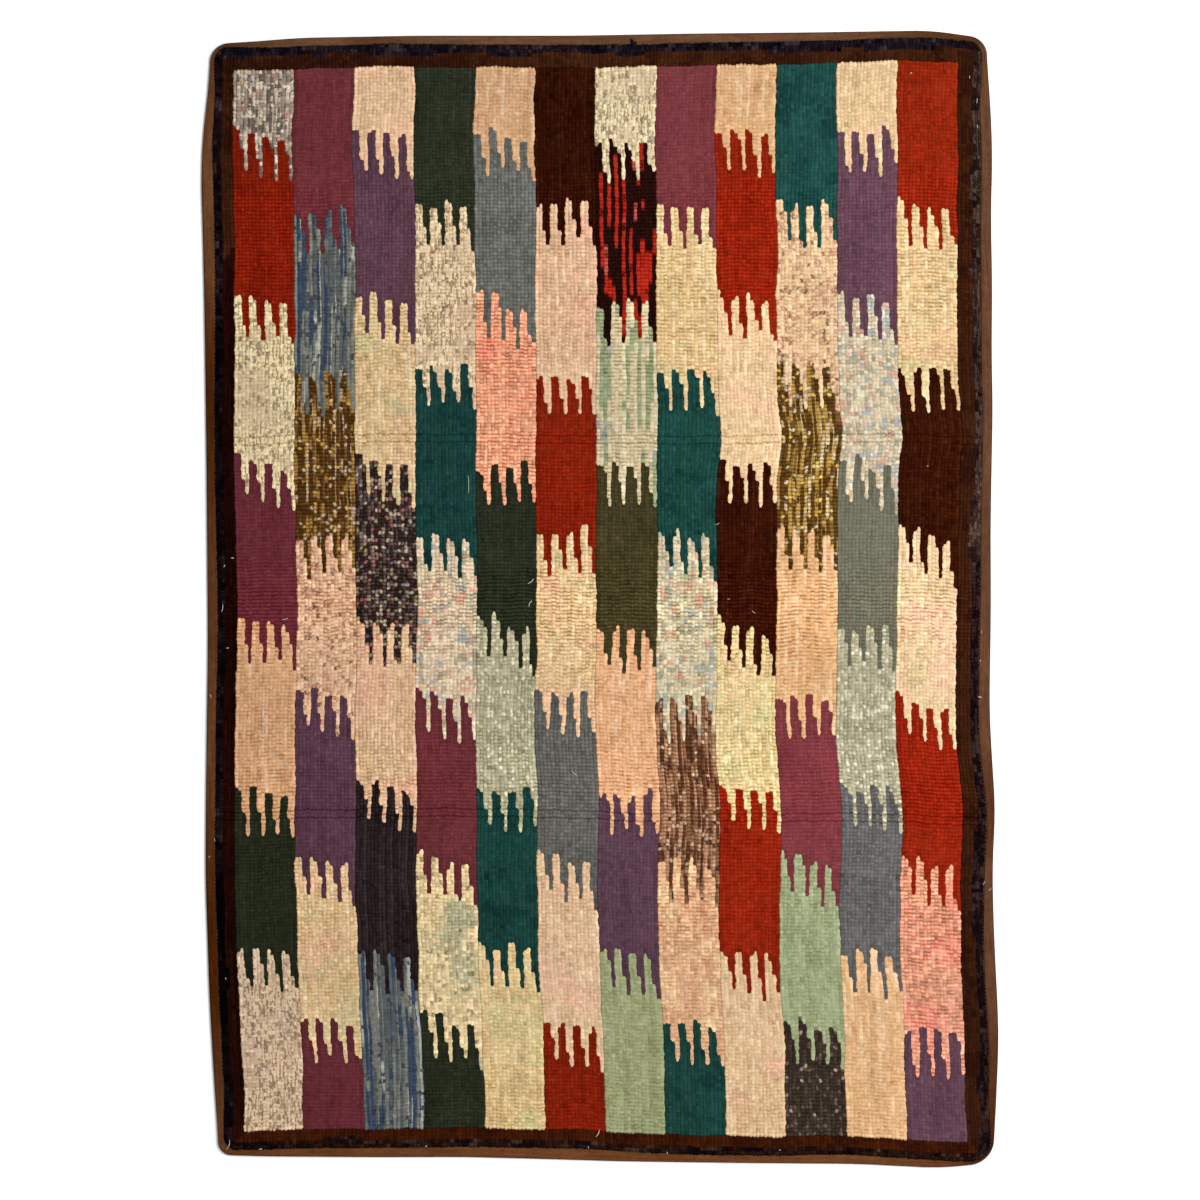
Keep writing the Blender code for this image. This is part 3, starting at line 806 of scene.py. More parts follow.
def gap_depths(random, chart, most_open, least, most):
    """How deep the gaps between rows, and those between a row's loops, are at each loop, in mm."""
    return [
        yarn_values(chart, gap) * np.minimum(part, most_open) * random.uniform(least, most, LOOP_GRID)
        for gap, part in zip(("row_gap", "loop_gap"), opened())
    ]


def at_pits(values):
    """The means of the four loops round each pit."""
    return between(between(values, 0), 1)


def loop_relief(random, chart):
    """How far each point of the grid lies above the plan's height, in metres."""
    uneven = LOOP_LIFT * (random.standard_normal(LOOP_GRID) + PATCH_LIFT * over_loops(random, 40, 60))
    top = yarn_values(chart, "rise") * MM + np.clip(uneven, -MOST_LIFT, MOST_LIFT)
    row_gap, loop_gap = (gap * MM for gap in gap_depths(random, chart, MOST_OPEN, *GAP_SPREAD))
    row_line = between(top - row_gap, 0)
    loop_line = between(top - loop_gap, 1)
    for line, _ in crease_lines():
        loop_line[:, line] -= random.uniform(*CREASE_GAP, ROWS)
    pit = at_pits(top - row_gap - PIT["deep"] * loop_gap)
    relief = on_points(top, row_line, loop_line, pit)
    for line in (0, -1):
        relief[line, 1::2] += RIM_LIFT
        relief[1::3, line] += RIM_LIFT
        relief[2::3, line] += RIM_LIFT
    lean = LOOP_LEAN * random.standard_normal(LOOP_GRID)
    relief[1::3, 1::2] += lean
    relief[2::3, 1::2] -= lean
    return relief


def crest_shade(random, chart):
    """1 on the loops' tops, and less in the gaps between them, which are in shade."""
    light = light_of(chart) > 0
    per_mm = np.where(light, LIGHT_SHADE, DARK_SHADE)
    uneven = np.where(light, UNEVEN_GAPS["light"], UNEVEN_GAPS["dark"])
    gaps = gap_depths(random, chart, math.inf, 1 - uneven, 1 + uneven)
    row_line, loop_line, pit = gap_shades(*gaps, per_mm)
    loop_line = between(loop_line, 1)
    for line, light_left in crease_lines():
        loop_line[:, line] *= light_left * random.uniform(*CREASE_SPREAD, ROWS)
    return on_points(1.0, between(row_line, 0), loop_line, at_pits(pit))


def no_moves():
    """Two empty grids of points, for what moves them across the rows and along them."""
    return np.zeros(POINT_GRID), np.zeros(POINT_GRID)


def scallops(random, chart):
    """How far the gaps beside light loops are pushed into dark neighbours, across and along the rows."""
    light = light_of(chart)
    across, along = no_moves()
    across[3:-1:3, 1::2] = (light[:-1] - light[1:]) * random.uniform(*RAGGED, (ROWS - 1, LOOPS))
    for strand in (1, 2):
        along[strand::3, 2:-1:2] = SCALLOP * (light[:, :-1] - light[:, 1:])
    return across, along


def rounded_tips(chart):
    """How far the pits move, across and along, where one loop juts out as the corner of a finger."""
    light = light_of(chart)
    ahead = {(i, j): light[1 - i : ROWS - i, 1 - j : LOOPS - j] for i in (0, 1) for j in (0, 1)}
    mean = sum(ahead.values()) / 4
    pull = 4 * (0.5 - mean)
    across, along = no_moves()
    across[3:-1:3, 2:-1:2] = pull * sum((part - mean) * (1 - 2 * i) for (i, _), part in ahead.items())
    along[3:-1:3, 2:-1:2] = pull * sum((part - mean) * (1 - 2 * j) for (_, j), part in ahead.items())
    return across * TIP_ROUND["across"], along * TIP_ROUND["along"]


def rim_bulges(random):
    """How far the outermost loops lean out over the tape, across and along."""
    across, along = no_moves()
    for line, sign in ((0, -1), (-1, 1)):
        across[line, 1::2] = sign * random.uniform(*RIM_BULGE, LOOPS)
        lean = -sign * random.uniform(*RIM_BULGE, ROWS)
        along[1::3, line] = lean
        along[2::3, line] = lean
    return across, along


def loose_lie(random, chart):
    """How far each point strays along its row, and across the rows, from its place in an even grid."""
    loose = 0.6 + 0.4 * over_loops(random, 16, 24)
    astray = yarn_values(chart, "stray") * MM * loose * over_loops(random, ROWS, LOOPS // 7)
    single = astray + LOOP_SHIFT * random.standard_normal(LOOP_GRID)
    shifts = np.clip(random.standard_normal((ROWS, LOOPS + 1)), -MOST_SHIFT, MOST_SHIFT)
    gaps = between(astray, 1) + GAP_SHIFT * shifts
    along = on_points(single, between(astray, 0), gaps, at_pits(astray))
    lines = LINE_SHIFT * smooth_noise(random, (ROWS + 1, LOOPS * 2 + 1), (ROWS + 1, LOOPS))
    across = np.zeros_like(along)
    across[0::3] = lines
    across += on_points(LOOP_SHIFT * random.standard_normal(LOOP_GRID), 0, 0, 0)
    return across, along


def surface_points(random, chart, centre):
    """Every point of the loops' surface: (rows * 3 + 1, loops * 2 + 1, 3)."""
    strand, step = np.arange(POINT_GRID[0]), np.arange(POINT_GRID[1])
    row = strand // STRANDS + np.array((0, *CREST_AT))[strand % STRANDS]
    x = np.repeat((WIDTH * (row / ROWS - 0.5))[:, None], len(step), axis=1)
    y = np.repeat((HALF_Y - LENGTH * step / HALVES)[None, :], len(strand), axis=0)
    inset = np.minimum(HALF_X - abs(x), HALF_Y - abs(y))
    free = np.clip(inset / STEADY_EDGE, 0, 1)
    wander_x, wander_y = (
        sum(WANDER * smooth_noise(random, POINT_GRID, cells) for cells in WANDER_CELLS[way])
        for way in ("across", "along")
    )
    on_the_right = np.clip((x - KICK_FROM[0]) / (KICK_FROM[1] - KICK_FROM[0]), 0, 1)
    kick = sum(
        crease["kick"] * np.exp(-(((y - crease["y"]) / KICK_REACH) ** 2)) * on_the_right
        for crease in CREASES
    )
    moves = [scallops(random, chart), rounded_tips(chart), loose_lie(random, chart)]
    bulge_x, bulge_y = rim_bulges(random)
    moved_x = x + free * (wander_x + kick + sum(across for across, _ in moves)) + bulge_x
    moved_y = y + free * (wander_y - sum(along for _, along in moves)) + bulge_y
    real_x, real_y = pile_at(moved_x, moved_y)
    height = np.maximum(pile_height(x, y, real_x, real_y) + loop_relief(random, chart), LOWEST_PIT)
    return np.stack((real_x - centre[0], real_y - centre[1], height), axis=-1)


# ---- Meshes ----


class Faces(NamedTuple):
    """Faces of one kind: their points, one row a face, and what each carries."""

    corners: np.ndarray
    strand: np.ndarray  # which row of strands its colour is from
    half: np.ndarray  # and which half of a loop, along that row
    lean: tuple = (0.0, 0.0)  # how far the first two corners are set out on the map, in rows and loops
    back: bool = False


def new_mesh(name, points, face_corners):
    """A mesh from an array of points and arrays of faces, each with its own number of corners."""
    mesh = bpy.data.meshes.new(name)
    corners = np.concatenate([block.ravel() for block in face_corners]).astype(np.int32)
    sizes = np.concatenate([np.full(len(block), block.shape[1]) for block in face_corners])
    starts = np.concatenate(([0], np.cumsum(sizes)[:-1])).astype(np.int32)
    mesh.vertices.add(len(points))
    mesh.vertices.foreach_set("co", np.asarray(points, np.float32).ravel())
    mesh.loops.add(len(corners))
    mesh.loops.foreach_set("vertex_index", corners)
    mesh.polygons.add(len(sizes))
    mesh.polygons.foreach_set("loop_start", starts)
    mesh.update(calc_edges=True)
    mesh.validate()
    return mesh


def add_piece(name, mesh, materials, replaced):
    piece = bpy.data.objects.new(name, mesh)
    for material in materials:
        mesh.materials.append(material)
    bpy.context.scene.collection.objects.link(piece)
    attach(piece, "root")
    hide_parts(replaced)
    return piece


def add_attribute(mesh, name, kind, domain, values):
    field = {"FLOAT": "value", "FLOAT_VECTOR": "vector", "FLOAT_COLOR": "color", "FLOAT2": "vector"}[kind]
    attribute = mesh.attributes.new(name, kind, domain)
    attribute.data.foreach_set(field, np.asarray(values, np.float32).ravel())


MAP_MARGIN = 0.03  # round each strip of the bake's map
SIDE_LEAN = 0.3  # how far the upper corners of a side's faces are set out on that map, in loops
BACK_FROM = 0.86  # the backs' strips lie right of this on the bake's map


def folded_map(short, long, strip, size, left, right):
    """Places on the bake's map. A long piece is laid out as strips side by side, from left to right."""
    short_count, strip_length, strips = size
    width = (right - left) / strips
    inner = 1 - 2 * MAP_MARGIN
    across = left + width * (strip + MAP_MARGIN + inner * short / short_count)
    along = MAP_MARGIN + inner * (long / strip_length - strip)
    return np.stack((across, along), axis=-1).reshape(-1, 2)


def numbered(rows, columns, first=0):
    """A grid of points' numbers."""
    return first + np.arange(rows * columns).reshape(rows, columns)


def pile_faces(rows, loops):
    """All faces of a closed piece of so many rows and loops. The top's points come before the back's."""
    top = numbered(rows * STRANDS + 1, loops * STEPS + 1)
    back = numbered(rows + 1, loops + 1, top.size)
    kinds = []
    i, j = (part.ravel() for part in np.indices((rows * STRANDS, loops * STEPS)))
    kinds.append(Faces(
        np.stack((top[i, j], top[i, j + 1], top[i + 1, j + 1], top[i + 1, j]), axis=1), i, j,
    ))
    i, j = (part.ravel() for part in np.indices((rows, loops)))
    kinds.append(Faces(
        np.stack((back[i, j], back[i + 1, j], back[i + 1, j + 1], back[i, j + 1]), axis=1),
        i * STRANDS + 1, j * STEPS, back=True,
    ))
    k = np.arange(loops)
    for row, edge, lean in ((0, 0, -SIDE_LEAN), (rows - 1, rows, SIDE_LEAN)):
        upper = [top[edge * STRANDS, STEPS * k + step] for step in range(STEPS + 1)]
        lower = [back[edge, k], back[edge, k + 1]]
        corners = [*lower, *reversed(upper)] if edge == 0 else [*reversed(lower), *upper]
        kinds.append(Faces(np.stack(corners, axis=1), row * STRANDS + 1, k * STEPS, (lean, 0.0)))
    k = np.arange(rows)
    for loop, edge, lean in ((0, 0, -SIDE_LEAN), (loops - 1, loops, SIDE_LEAN)):
        upper = [top[STRANDS * k + step, edge * STEPS] for step in range(STRANDS + 1)]
        lower = [back[k, edge], back[k + 1, edge]]
        corners = [*reversed(lower), *upper] if edge == 0 else [*lower, *reversed(upper)]
        kinds.append(Faces(np.stack(corners, axis=1), k * STRANDS + 1, loop * STEPS, (0.0, lean)))
    return kinds


def cut(values, start, size):
    """A piece's part of values for all points of the loops' surface."""
    (row, loop), (rows, loops) = start, size
    return values[row * STRANDS : (row + rows) * STRANDS + 1, loop * STEPS : (loop + loops) * STEPS + 1]


def back_points(top, start):
    """The points of a piece's back: level with the floor, but raised where the tape's back leg lies."""
    points = top[::STRANDS, ::STEPS].copy()
    row, loop = np.indices(points.shape[:2])
    row, loop = row + start[0], loop + start[1]
    from_sides = np.minimum(row, ROWS - row) * WIDTH / ROWS
    from_ends = np.minimum(loop, LOOPS - loop) * LENGTH / LOOPS
    raised = np.minimum(from_sides, from_ends) < BACK_LEG
    points[:, :, 2] = np.where(raised, HEM["low"] - CLEARANCE, 0.0)
    return points


def make_pile(name, surface, colours, shade, start, size, strips, materials):
    """One piece of the loops: a closed body with the loops on top and their stitches on its back."""
    rows, loops = size
    top = cut(surface, start, size)
    back = back_points(top, start)
    kinds = pile_faces(rows, loops)
    points = np.concatenate((top.reshape(-1, 3), back.reshape(-1, 3)))
    mesh = new_mesh(name, points, [kind.corners for kind in kinds])

    top_place = np.stack(np.indices(top.shape[:2]), axis=-1) / (STRANDS, STEPS)
    back_place = np.stack(np.indices(back.shape[:2]), axis=-1)
    place = np.concatenate((top_place.reshape(-1, 2), back_place.reshape(-1, 2)))
    crest = np.concatenate((cut(shade, start, size).ravel(), np.ones(back[..., 0].size)))
    add_attribute(mesh, "crest", "FLOAT", "POINT", crest)
    flat_place = np.column_stack((place, np.zeros(len(place))))
    add_attribute(mesh, "grid_place", "FLOAT_VECTOR", "POINT", flat_place)

    short, long = (0, 1) if loops > rows else (1, 0)
    strip_length = max(size) / strips
    face_colours, maps, slots, smooth = [], [], [], []
    for kind in kinds:
        own = colours[start[0] * STRANDS + kind.strand, start[1] * STEPS + kind.half]
        face_colours.append(np.column_stack((own, np.ones(len(own)))))
        corner_place = place[kind.corners]
        corner_place[:, :2] += kind.lean
        strip = np.minimum(corner_place[:, :, long].mean(axis=1) // strip_length, strips - 1)[:, None]
        left, right = (BACK_FROM, 1.0) if kind.back else (0.0, BACK_FROM)
        maps.append(folded_map(corner_place[:, :, short], corner_place[:, :, long], strip,
                               (min(size), strip_length, strips), left, right))
        slots.append(np.full(len(own), int(kind.back)))
        smooth.append(np.full(len(own), kind is kinds[0]))
    add_attribute(mesh, "yarn", "FLOAT_COLOR", "FACE", np.concatenate(face_colours))
    add_attribute(mesh, "OFBake", "FLOAT2", "CORNER", np.concatenate(maps))
    mesh.polygons.foreach_set("material_index", np.concatenate(slots).astype(np.int32))
    mesh.polygons.foreach_set("use_smooth", np.concatenate(smooth))
    return add_piece(name, mesh, materials, "hooked_ground")


def make_all_piles(surface, colours, shade, materials):
    """Twelve columns and four borders. Each has its first row and loop, its size, and its map's strips."""
    left, right, top, bottom = (BORDER[side] for side in ("left", "right", "top", "bottom"))
    parts = {
        f"pile_column_{column + 1:02d}": ((left + column * COLUMN_ROWS, top), (COLUMN_ROWS, FIELD_LOOPS), 4)
        for column in range(COLUMNS)
    }
    parts["pile_border_left"] = ((0, 0), (left, LOOPS), 8)
    parts["pile_border_right"] = ((left + FIELD_ROWS, 0), (right, LOOPS), 8)
    parts["pile_border_top"] = ((left, 0), (FIELD_ROWS, top), 6)
    parts["pile_border_bottom"] = ((left, top + FIELD_LOOPS), (FIELD_ROWS, bottom), 6)
    return [make_pile(name, surface, colours, shade, *part, materials) for name, part in parts.items()]


# ---- Cloth ----


def shifted(x, y, distance):
    """A closed line of points moved outwards by a distance, each along the line's own normal."""
    run_x, run_y = np.roll(x, -1) - np.roll(x, 1), np.roll(y, -1) - np.roll(y, 1)
    size = np.hypot(run_x, run_y)
    return x + distance * run_y / size, y - distance * run_x / size


class TapePoint(NamedTuple):
    """A point of the tape's section."""

    line: str  # "rim" if it is at a share of the way in to the front leg's end, "wall" if mm out from there
    at: float
    height: float  # in mm


TAPE_SECTION = (
    # Anticlockwise from the outermost point of the fold: over the front leg and back inside it,
    TapePoint("rim", 0.0, 1.9), TapePoint("rim", 0.012, 2.75), TapePoint("rim", 0.05, 3.35),
    TapePoint("rim", 0.12, 3.72), TapePoint("rim", 0.24, 3.92), TapePoint("rim", 0.42, 4.02),
    TapePoint("rim", 0.62, 4.12), TapePoint("rim", 0.80, 4.22), TapePoint("rim", 0.93, 4.18),
    TapePoint("rim", 1.0, 3.7), TapePoint("rim", 0.96, 3.05), TapePoint("rim", 0.5, 2.85),
    TapePoint("rim", 0.11, 2.8), TapePoint("rim", 0.085, 1.9), TapePoint("rim", 0.11, 1.0),
    # then inside the back leg and back below it.
    TapePoint("wall", -1.0, 1.0), TapePoint("wall", -8.2, 0.95), TapePoint("wall", -8.7, 0.5),
    TapePoint("wall", -8.2, 0.05), TapePoint("wall", -1.0, 0.0), TapePoint("rim", 0.2, 0.0),
    TapePoint("rim", 0.06, 0.3), TapePoint("rim", 0.012, 1.05),
)
# The tape's colours as linear light: where it is darkest, and where it is palest on each side.
TAPE_DARK = (0.052, 0.0122, 0.0014)
TAPE_PALE = {
    "left": (0.119, 0.0475, 0.0190),
    "right": (0.0990, 0.0415, 0.0210),
    "top": (0.1100, 0.0505, 0.0245),
    "bottom": (0.1208, 0.0438, 0.0150),
}
TAPE_GAP = 0.9 * MM  # between the end of the front leg and the foot of the loops
TAPE_STEP = 3.0 * MM
TAPE_STRIPS = 10
PUCKER = {"pitch": 13.0 * MM, "depth": 0.22 * MM, "sway": 2.0}
# Slow ripples of the front leg: sizes and cells of their waves, and how far they lag behind the puckers'.
RIPPLE = {"height": 0.12 * MM, "waves": ((1, 150), (0.5, 400)), "lag": 7}
FRONT_LEG = 3.2  # the points of the section that lie higher than this, in mm, are its upper side
CLOTH_GRID = (41, 57)


def tape_colours(x, y):
    """The tape's colour at points of the true rectangle's sides."""
    down, along = 0.5 - y / LENGTH, 0.5 + x / WIDTH
    from_side = {"left": along, "right": 1 - along, "top": down, "bottom": 1 - down}
    shares = {"left": down, "right": down, "top": along, "bottom": along}
    nearest = np.argmin([from_side[side] for side in TAPE_ALONG], axis=0)
    colours = np.ones((len(x), 4))
    for number, (side, table) in enumerate(TAPE_ALONG.items()):
        here = nearest == number
        pale = reading(table, "pale", shares[side])[here, None]
        colours[here, :3] = TAPE_DARK + (np.array(TAPE_PALE[side]) - TAPE_DARK) * pale
    return colours


def make_tape(random, centre, material):
    """The tape: folded round the hem, with slight puckers at its inner edge, where it is sewn down."""
    around = round_the_rim(TAPE_STEP)
    rim_x, rim_y = outline_at(*around)
    wall_x, wall_y = pile_at(*around)
    end_x, end_y = shifted(wall_x, wall_y, TAPE_GAP)
    count = len(rim_x)
    turn = np.arange(count)
    waver = sum(
        by * smooth_noise(random, (count, 2), (cells, 1))[:, 0] for by, cells in RIPPLE["waves"]
    )
    stitch = np.cos(2 * math.pi * turn * TAPE_STEP / PUCKER["pitch"] + PUCKER["sway"] * waver)
    rings = []
    for point in TAPE_SECTION:
        if point.line == "rim":
            x = rim_x + (end_x - rim_x) * point.at
            y = rim_y + (end_y - rim_y) * point.at
        else:
            x, y = shifted(wall_x, wall_y, point.at * MM)
        height = np.full(count, point.height * MM)
        if point.height > FRONT_LEG:
            near_stitches = max(0.0, 2 * point.at - 1)
            height += RIPPLE["height"] * np.roll(waver, RIPPLE["lag"])
            height -= PUCKER["depth"] * near_stitches * (1 + stitch) / 2
        rings.append(np.stack((x - centre[0], y - centre[1], height), axis=1))
    points = np.stack(rings)
    number = numbered(len(rings), count)
    after, beyond = np.roll(number, -1, axis=0), np.roll(number, -1, axis=1)
    across = np.roll(after, -1, axis=1)
    corners = np.stack((number, beyond, across, after), axis=-1).reshape(-1, 4)
    mesh = new_mesh("binding_tape", points.reshape(-1, 3), [corners])
    mesh.shade_smooth()

    girth, along = np.indices((len(rings), count))
    girth, along = (part.ravel()[:, None] + np.array(step) for part, step in
                    ((girth, (0, 0, 1, 1)), (along, (0, 1, 1, 0))))
    strip_length = count / TAPE_STRIPS
    strip = (along[:, :1] + 0.5) // strip_length
    spread = folded_map(girth, along, strip, (len(rings), strip_length, TAPE_STRIPS), 0.0, 1.0)
    add_attribute(mesh, "OFBake", "FLOAT2", "CORNER", spread)
    lengths = np.linalg.norm(points - np.roll(points, 1, axis=0), axis=2).mean(axis=1)
    place = np.broadcast_arrays((turn * TAPE_STEP)[None, :], np.cumsum(lengths)[:, None], 0.0)
    add_attribute(mesh, "tape_place", "FLOAT_VECTOR", "POINT", np.stack(place, axis=-1).reshape(-1, 3))
    brown = np.repeat(tape_colours(*around)[None], len(points), axis=0)
    add_attribute(mesh, "tape_brown", "FLOAT_COLOR", "POINT", brown.reshape(-1, 4))
    return add_piece("binding_tape", mesh, [material], "edge_binding")


def make_cloth(centre, material):
    """The foundation cloth, which ends as the turned hem inside the tape."""
    lines = [np.linspace(-half, half, count) for half, count in zip((HALF_X, HALF_Y), CLOTH_GRID)]
    x, y = np.meshgrid(*lines, indexing="ij")
    real_x, real_y = outline_at(x, y)
    real_x, real_y = real_x - centre[0], real_y - centre[1]
    real_x = real_x * (1 - HEM["inset"] / HALF_X)
    real_y = real_y * (1 - HEM["inset"] / HALF_Y)
    layers = [np.stack((real_x, real_y, np.full_like(x, HEM[level])), axis=-1) for level in ("high", "low")]
    upper = numbered(*CLOTH_GRID)
    lower = upper + x.size
    i, j = (part.ravel() for part in np.indices((x.shape[0] - 1, x.shape[1] - 1)))
    top = np.stack((upper[i, j], upper[i + 1, j], upper[i + 1, j + 1], upper[i, j + 1]), axis=1)
    back = np.stack((lower[i, j], lower[i, j + 1], lower[i + 1, j + 1], lower[i + 1, j]), axis=1)
    rim = np.concatenate((upper[:-1, 0], upper[-1, :-1], upper[:0:-1, -1], upper[0, :0:-1]))
    following = np.roll(rim, -1)
    side = np.stack((rim, rim + x.size, following + x.size, following), axis=1)
    points = np.concatenate([layer.reshape(-1, 3) for layer in layers])
    mesh = new_mesh("foundation_cloth", points, [top, back, side])
    return add_piece("foundation_cloth", mesh, [material], "hooked_ground")


# Bits of lint and loose ends of yarn that lie on the rug: the place of each one's middle, its length and
# its thickness in mm, and its turn and bend in degrees.
LINT = (
    # x, y, length, thick, turn, bend
    (-398.2, 44.4, 3.5, 0.9, 170, 20),
    (-406.9, 35.8, 3.0, 0.8, 60, 10),
    (-409.0, -9.8, 9.0, 0.6, 85, 40),
    (-403.6, -53.1, 3.0, 0.8, 10, 10),
    (337.0, 569.9, 3.0, 0.9, 40, 10),
    (400.4, 565.6, 3.0, 0.8, 90, 20),
    (-74.8, 19.0, 9.0, 0.8, 45, 60),
    (-75.8, -4.9, 8.0, 0.8, 60, -80),
    (-402.5, -591.6, 12.0, 0.7, 75, 70),
    (-367.9, -595.9, 4.0, 0.8, 10, 20),
    (-28.2, -188.5, 8.0, 0.8, -40, 50),
    (127.3, 81.3, 5.0, 0.6, 30, 40),
    (-142.5, 124.1, 20.0, 0.5, 92, 15),
    (-341.3, -21.7, 7.0, 0.7, 15, 50),
    (411.7, -106.2, 4.5, 1.0, -10, 10),
    (411.9, -66.9, 2.5, 0.8, 80, 0),
    (413.4, -35.8, 2.5, 0.7, 100, 0),
    (408.5, 540.0, 6.0, 0.6, 88, 15),
    (409.0, 512.0, 4.0, 0.6, 95, 15),
    (216.2, 133.3, 7.5, 1.2, -12, 10),
    (355.0, 144.0, 2.0, 0.8, 0, 0),
    (166.4, -14.1, 5.0, 0.6, -35, 30),
    (139.6, 0.0, 3.5, 0.5, 10, 20),
    (-422.0, -104.9, 4.5, 0.6, 110, 30),
    (-417.5, -260.8, 3.5, 0.6, 100, 20),
    (-423.5, -279.3, 2.5, 0.6, 60, 0),
    (-405.4, -411.2, 2.5, 0.8, 100, 0),
    (-188.4, -592.7, 2.5, 0.8, 30, 0),
    (-12.6, -594.1, 2.0, 0.8, 80, 0),
    (72.9, -600.4, 2.5, 0.9, 95, 0),
    (194.8, -597.0, 2.0, 0.8, 20, 0),
    (416.1, -307.6, 5.0, 0.5, 60, 50),
    (422.5, -314.7, 4.0, 0.5, 40, 60),
    (-316.0, -8.0, 4.0, 0.5, 5, 20),
    (-325.0, -7.0, 3.0, 0.5, 170, 20),
)
LOOSE_ENDS = (
    {"lies": (-2.2, -579.2, 9.0, 1.2, 65, 45), "colour": (200, 168, 132)},
    {"lies": (35.3, 602.0, 11.0, 3.2, 105, 40), "colour": (22, 17, 28)},
    {"lies": (38.5, 600.5, 8.0, 2.6, 80, -50), "colour": (26, 20, 34)},
)
LINT_COLOUR = (206, 196, 184)
BIT_STEPS = 8
BIT_SIDES = 6
BIT_HEIGHT = {"ends": 0.3 * MM, "arch": 0.6 * MM}  # over the loops
BIT_TAPER = 1.8  # 2 would bring the ends to points


def bit_points(x, y, length, thick, turn, bend):
    """The rings of a bit of yarn that lies curved on the loops, thinner at both ends."""
    share = np.linspace(-0.5, 0.5, BIT_STEPS + 1)
    heading = np.radians(turn + bend * share)
    step = length * MM / BIT_STEPS
    middle_x = np.concatenate(([0], np.cumsum(np.cos(heading[:-1]) * step)))
    middle_y = np.concatenate(([0], np.cumsum(np.sin(heading[:-1]) * step)))
    middle_x += x * MM - middle_x.mean()
    middle_y += y * MM - middle_y.mean()
    nominal = np.clip(middle_x, -HALF_X, HALF_X), np.clip(middle_y, -HALF_Y, HALF_Y)
    height = pile_height(*nominal, middle_x, middle_y)
    height += BIT_HEIGHT["ends"] + BIT_HEIGHT["arch"] * np.sin(np.pi * (share + 0.5))
    radius = thick * MM / 2 * np.sqrt(1 - (BIT_TAPER * share) ** 2)
    around = np.arange(BIT_SIDES) * 2 * math.pi / BIT_SIDES
    out, up = np.cos(around)[None, :] * radius[:, None], np.sin(around)[None, :] * radius[:, None]
    return np.stack((
        middle_x[:, None] - np.sin(heading)[:, None] * out,
        middle_y[:, None] + np.cos(heading)[:, None] * out,
        height[:, None] + up,
    ), axis=-1)


def make_loose_bits(material):
    """Lint and loose yarn ends, as closed tubes."""
    bits = [(lies, LINT_COLOUR) for lies in LINT] + [(end["lies"], end["colour"]) for end in LOOSE_ENDS]
    number = numbered(BIT_STEPS + 1, BIT_SIDES)
    beside = np.roll(number, -1, axis=1)
    wall = np.stack((number[:-1], number[1:], beside[1:], beside[:-1]), axis=-1).reshape(-1, 4)
    ends = np.stack((number[0], number[-1][::-1]))
    starts = number.size * np.arange(len(bits))[:, None, None]
    walls = (wall[None] + starts).reshape(-1, 4)
    caps = (ends[None] + starts).reshape(-1, BIT_SIDES)
    points = np.concatenate([bit_points(*lies).reshape(-1, 3) for lies, _ in bits])
    mesh = new_mesh("loose_bits", points, [walls, caps])
    colours = np.array([[*linear(colour), 1.0] for _, colour in bits])
    own = np.concatenate((np.repeat(colours, len(wall), axis=0), np.repeat(colours, 2, axis=0)))
    add_attribute(mesh, "yarn", "FLOAT_COLOR", "FACE", own)
    return add_piece("loose_bits", mesh, [material], "hooked_ground")


# ---- Materials ----


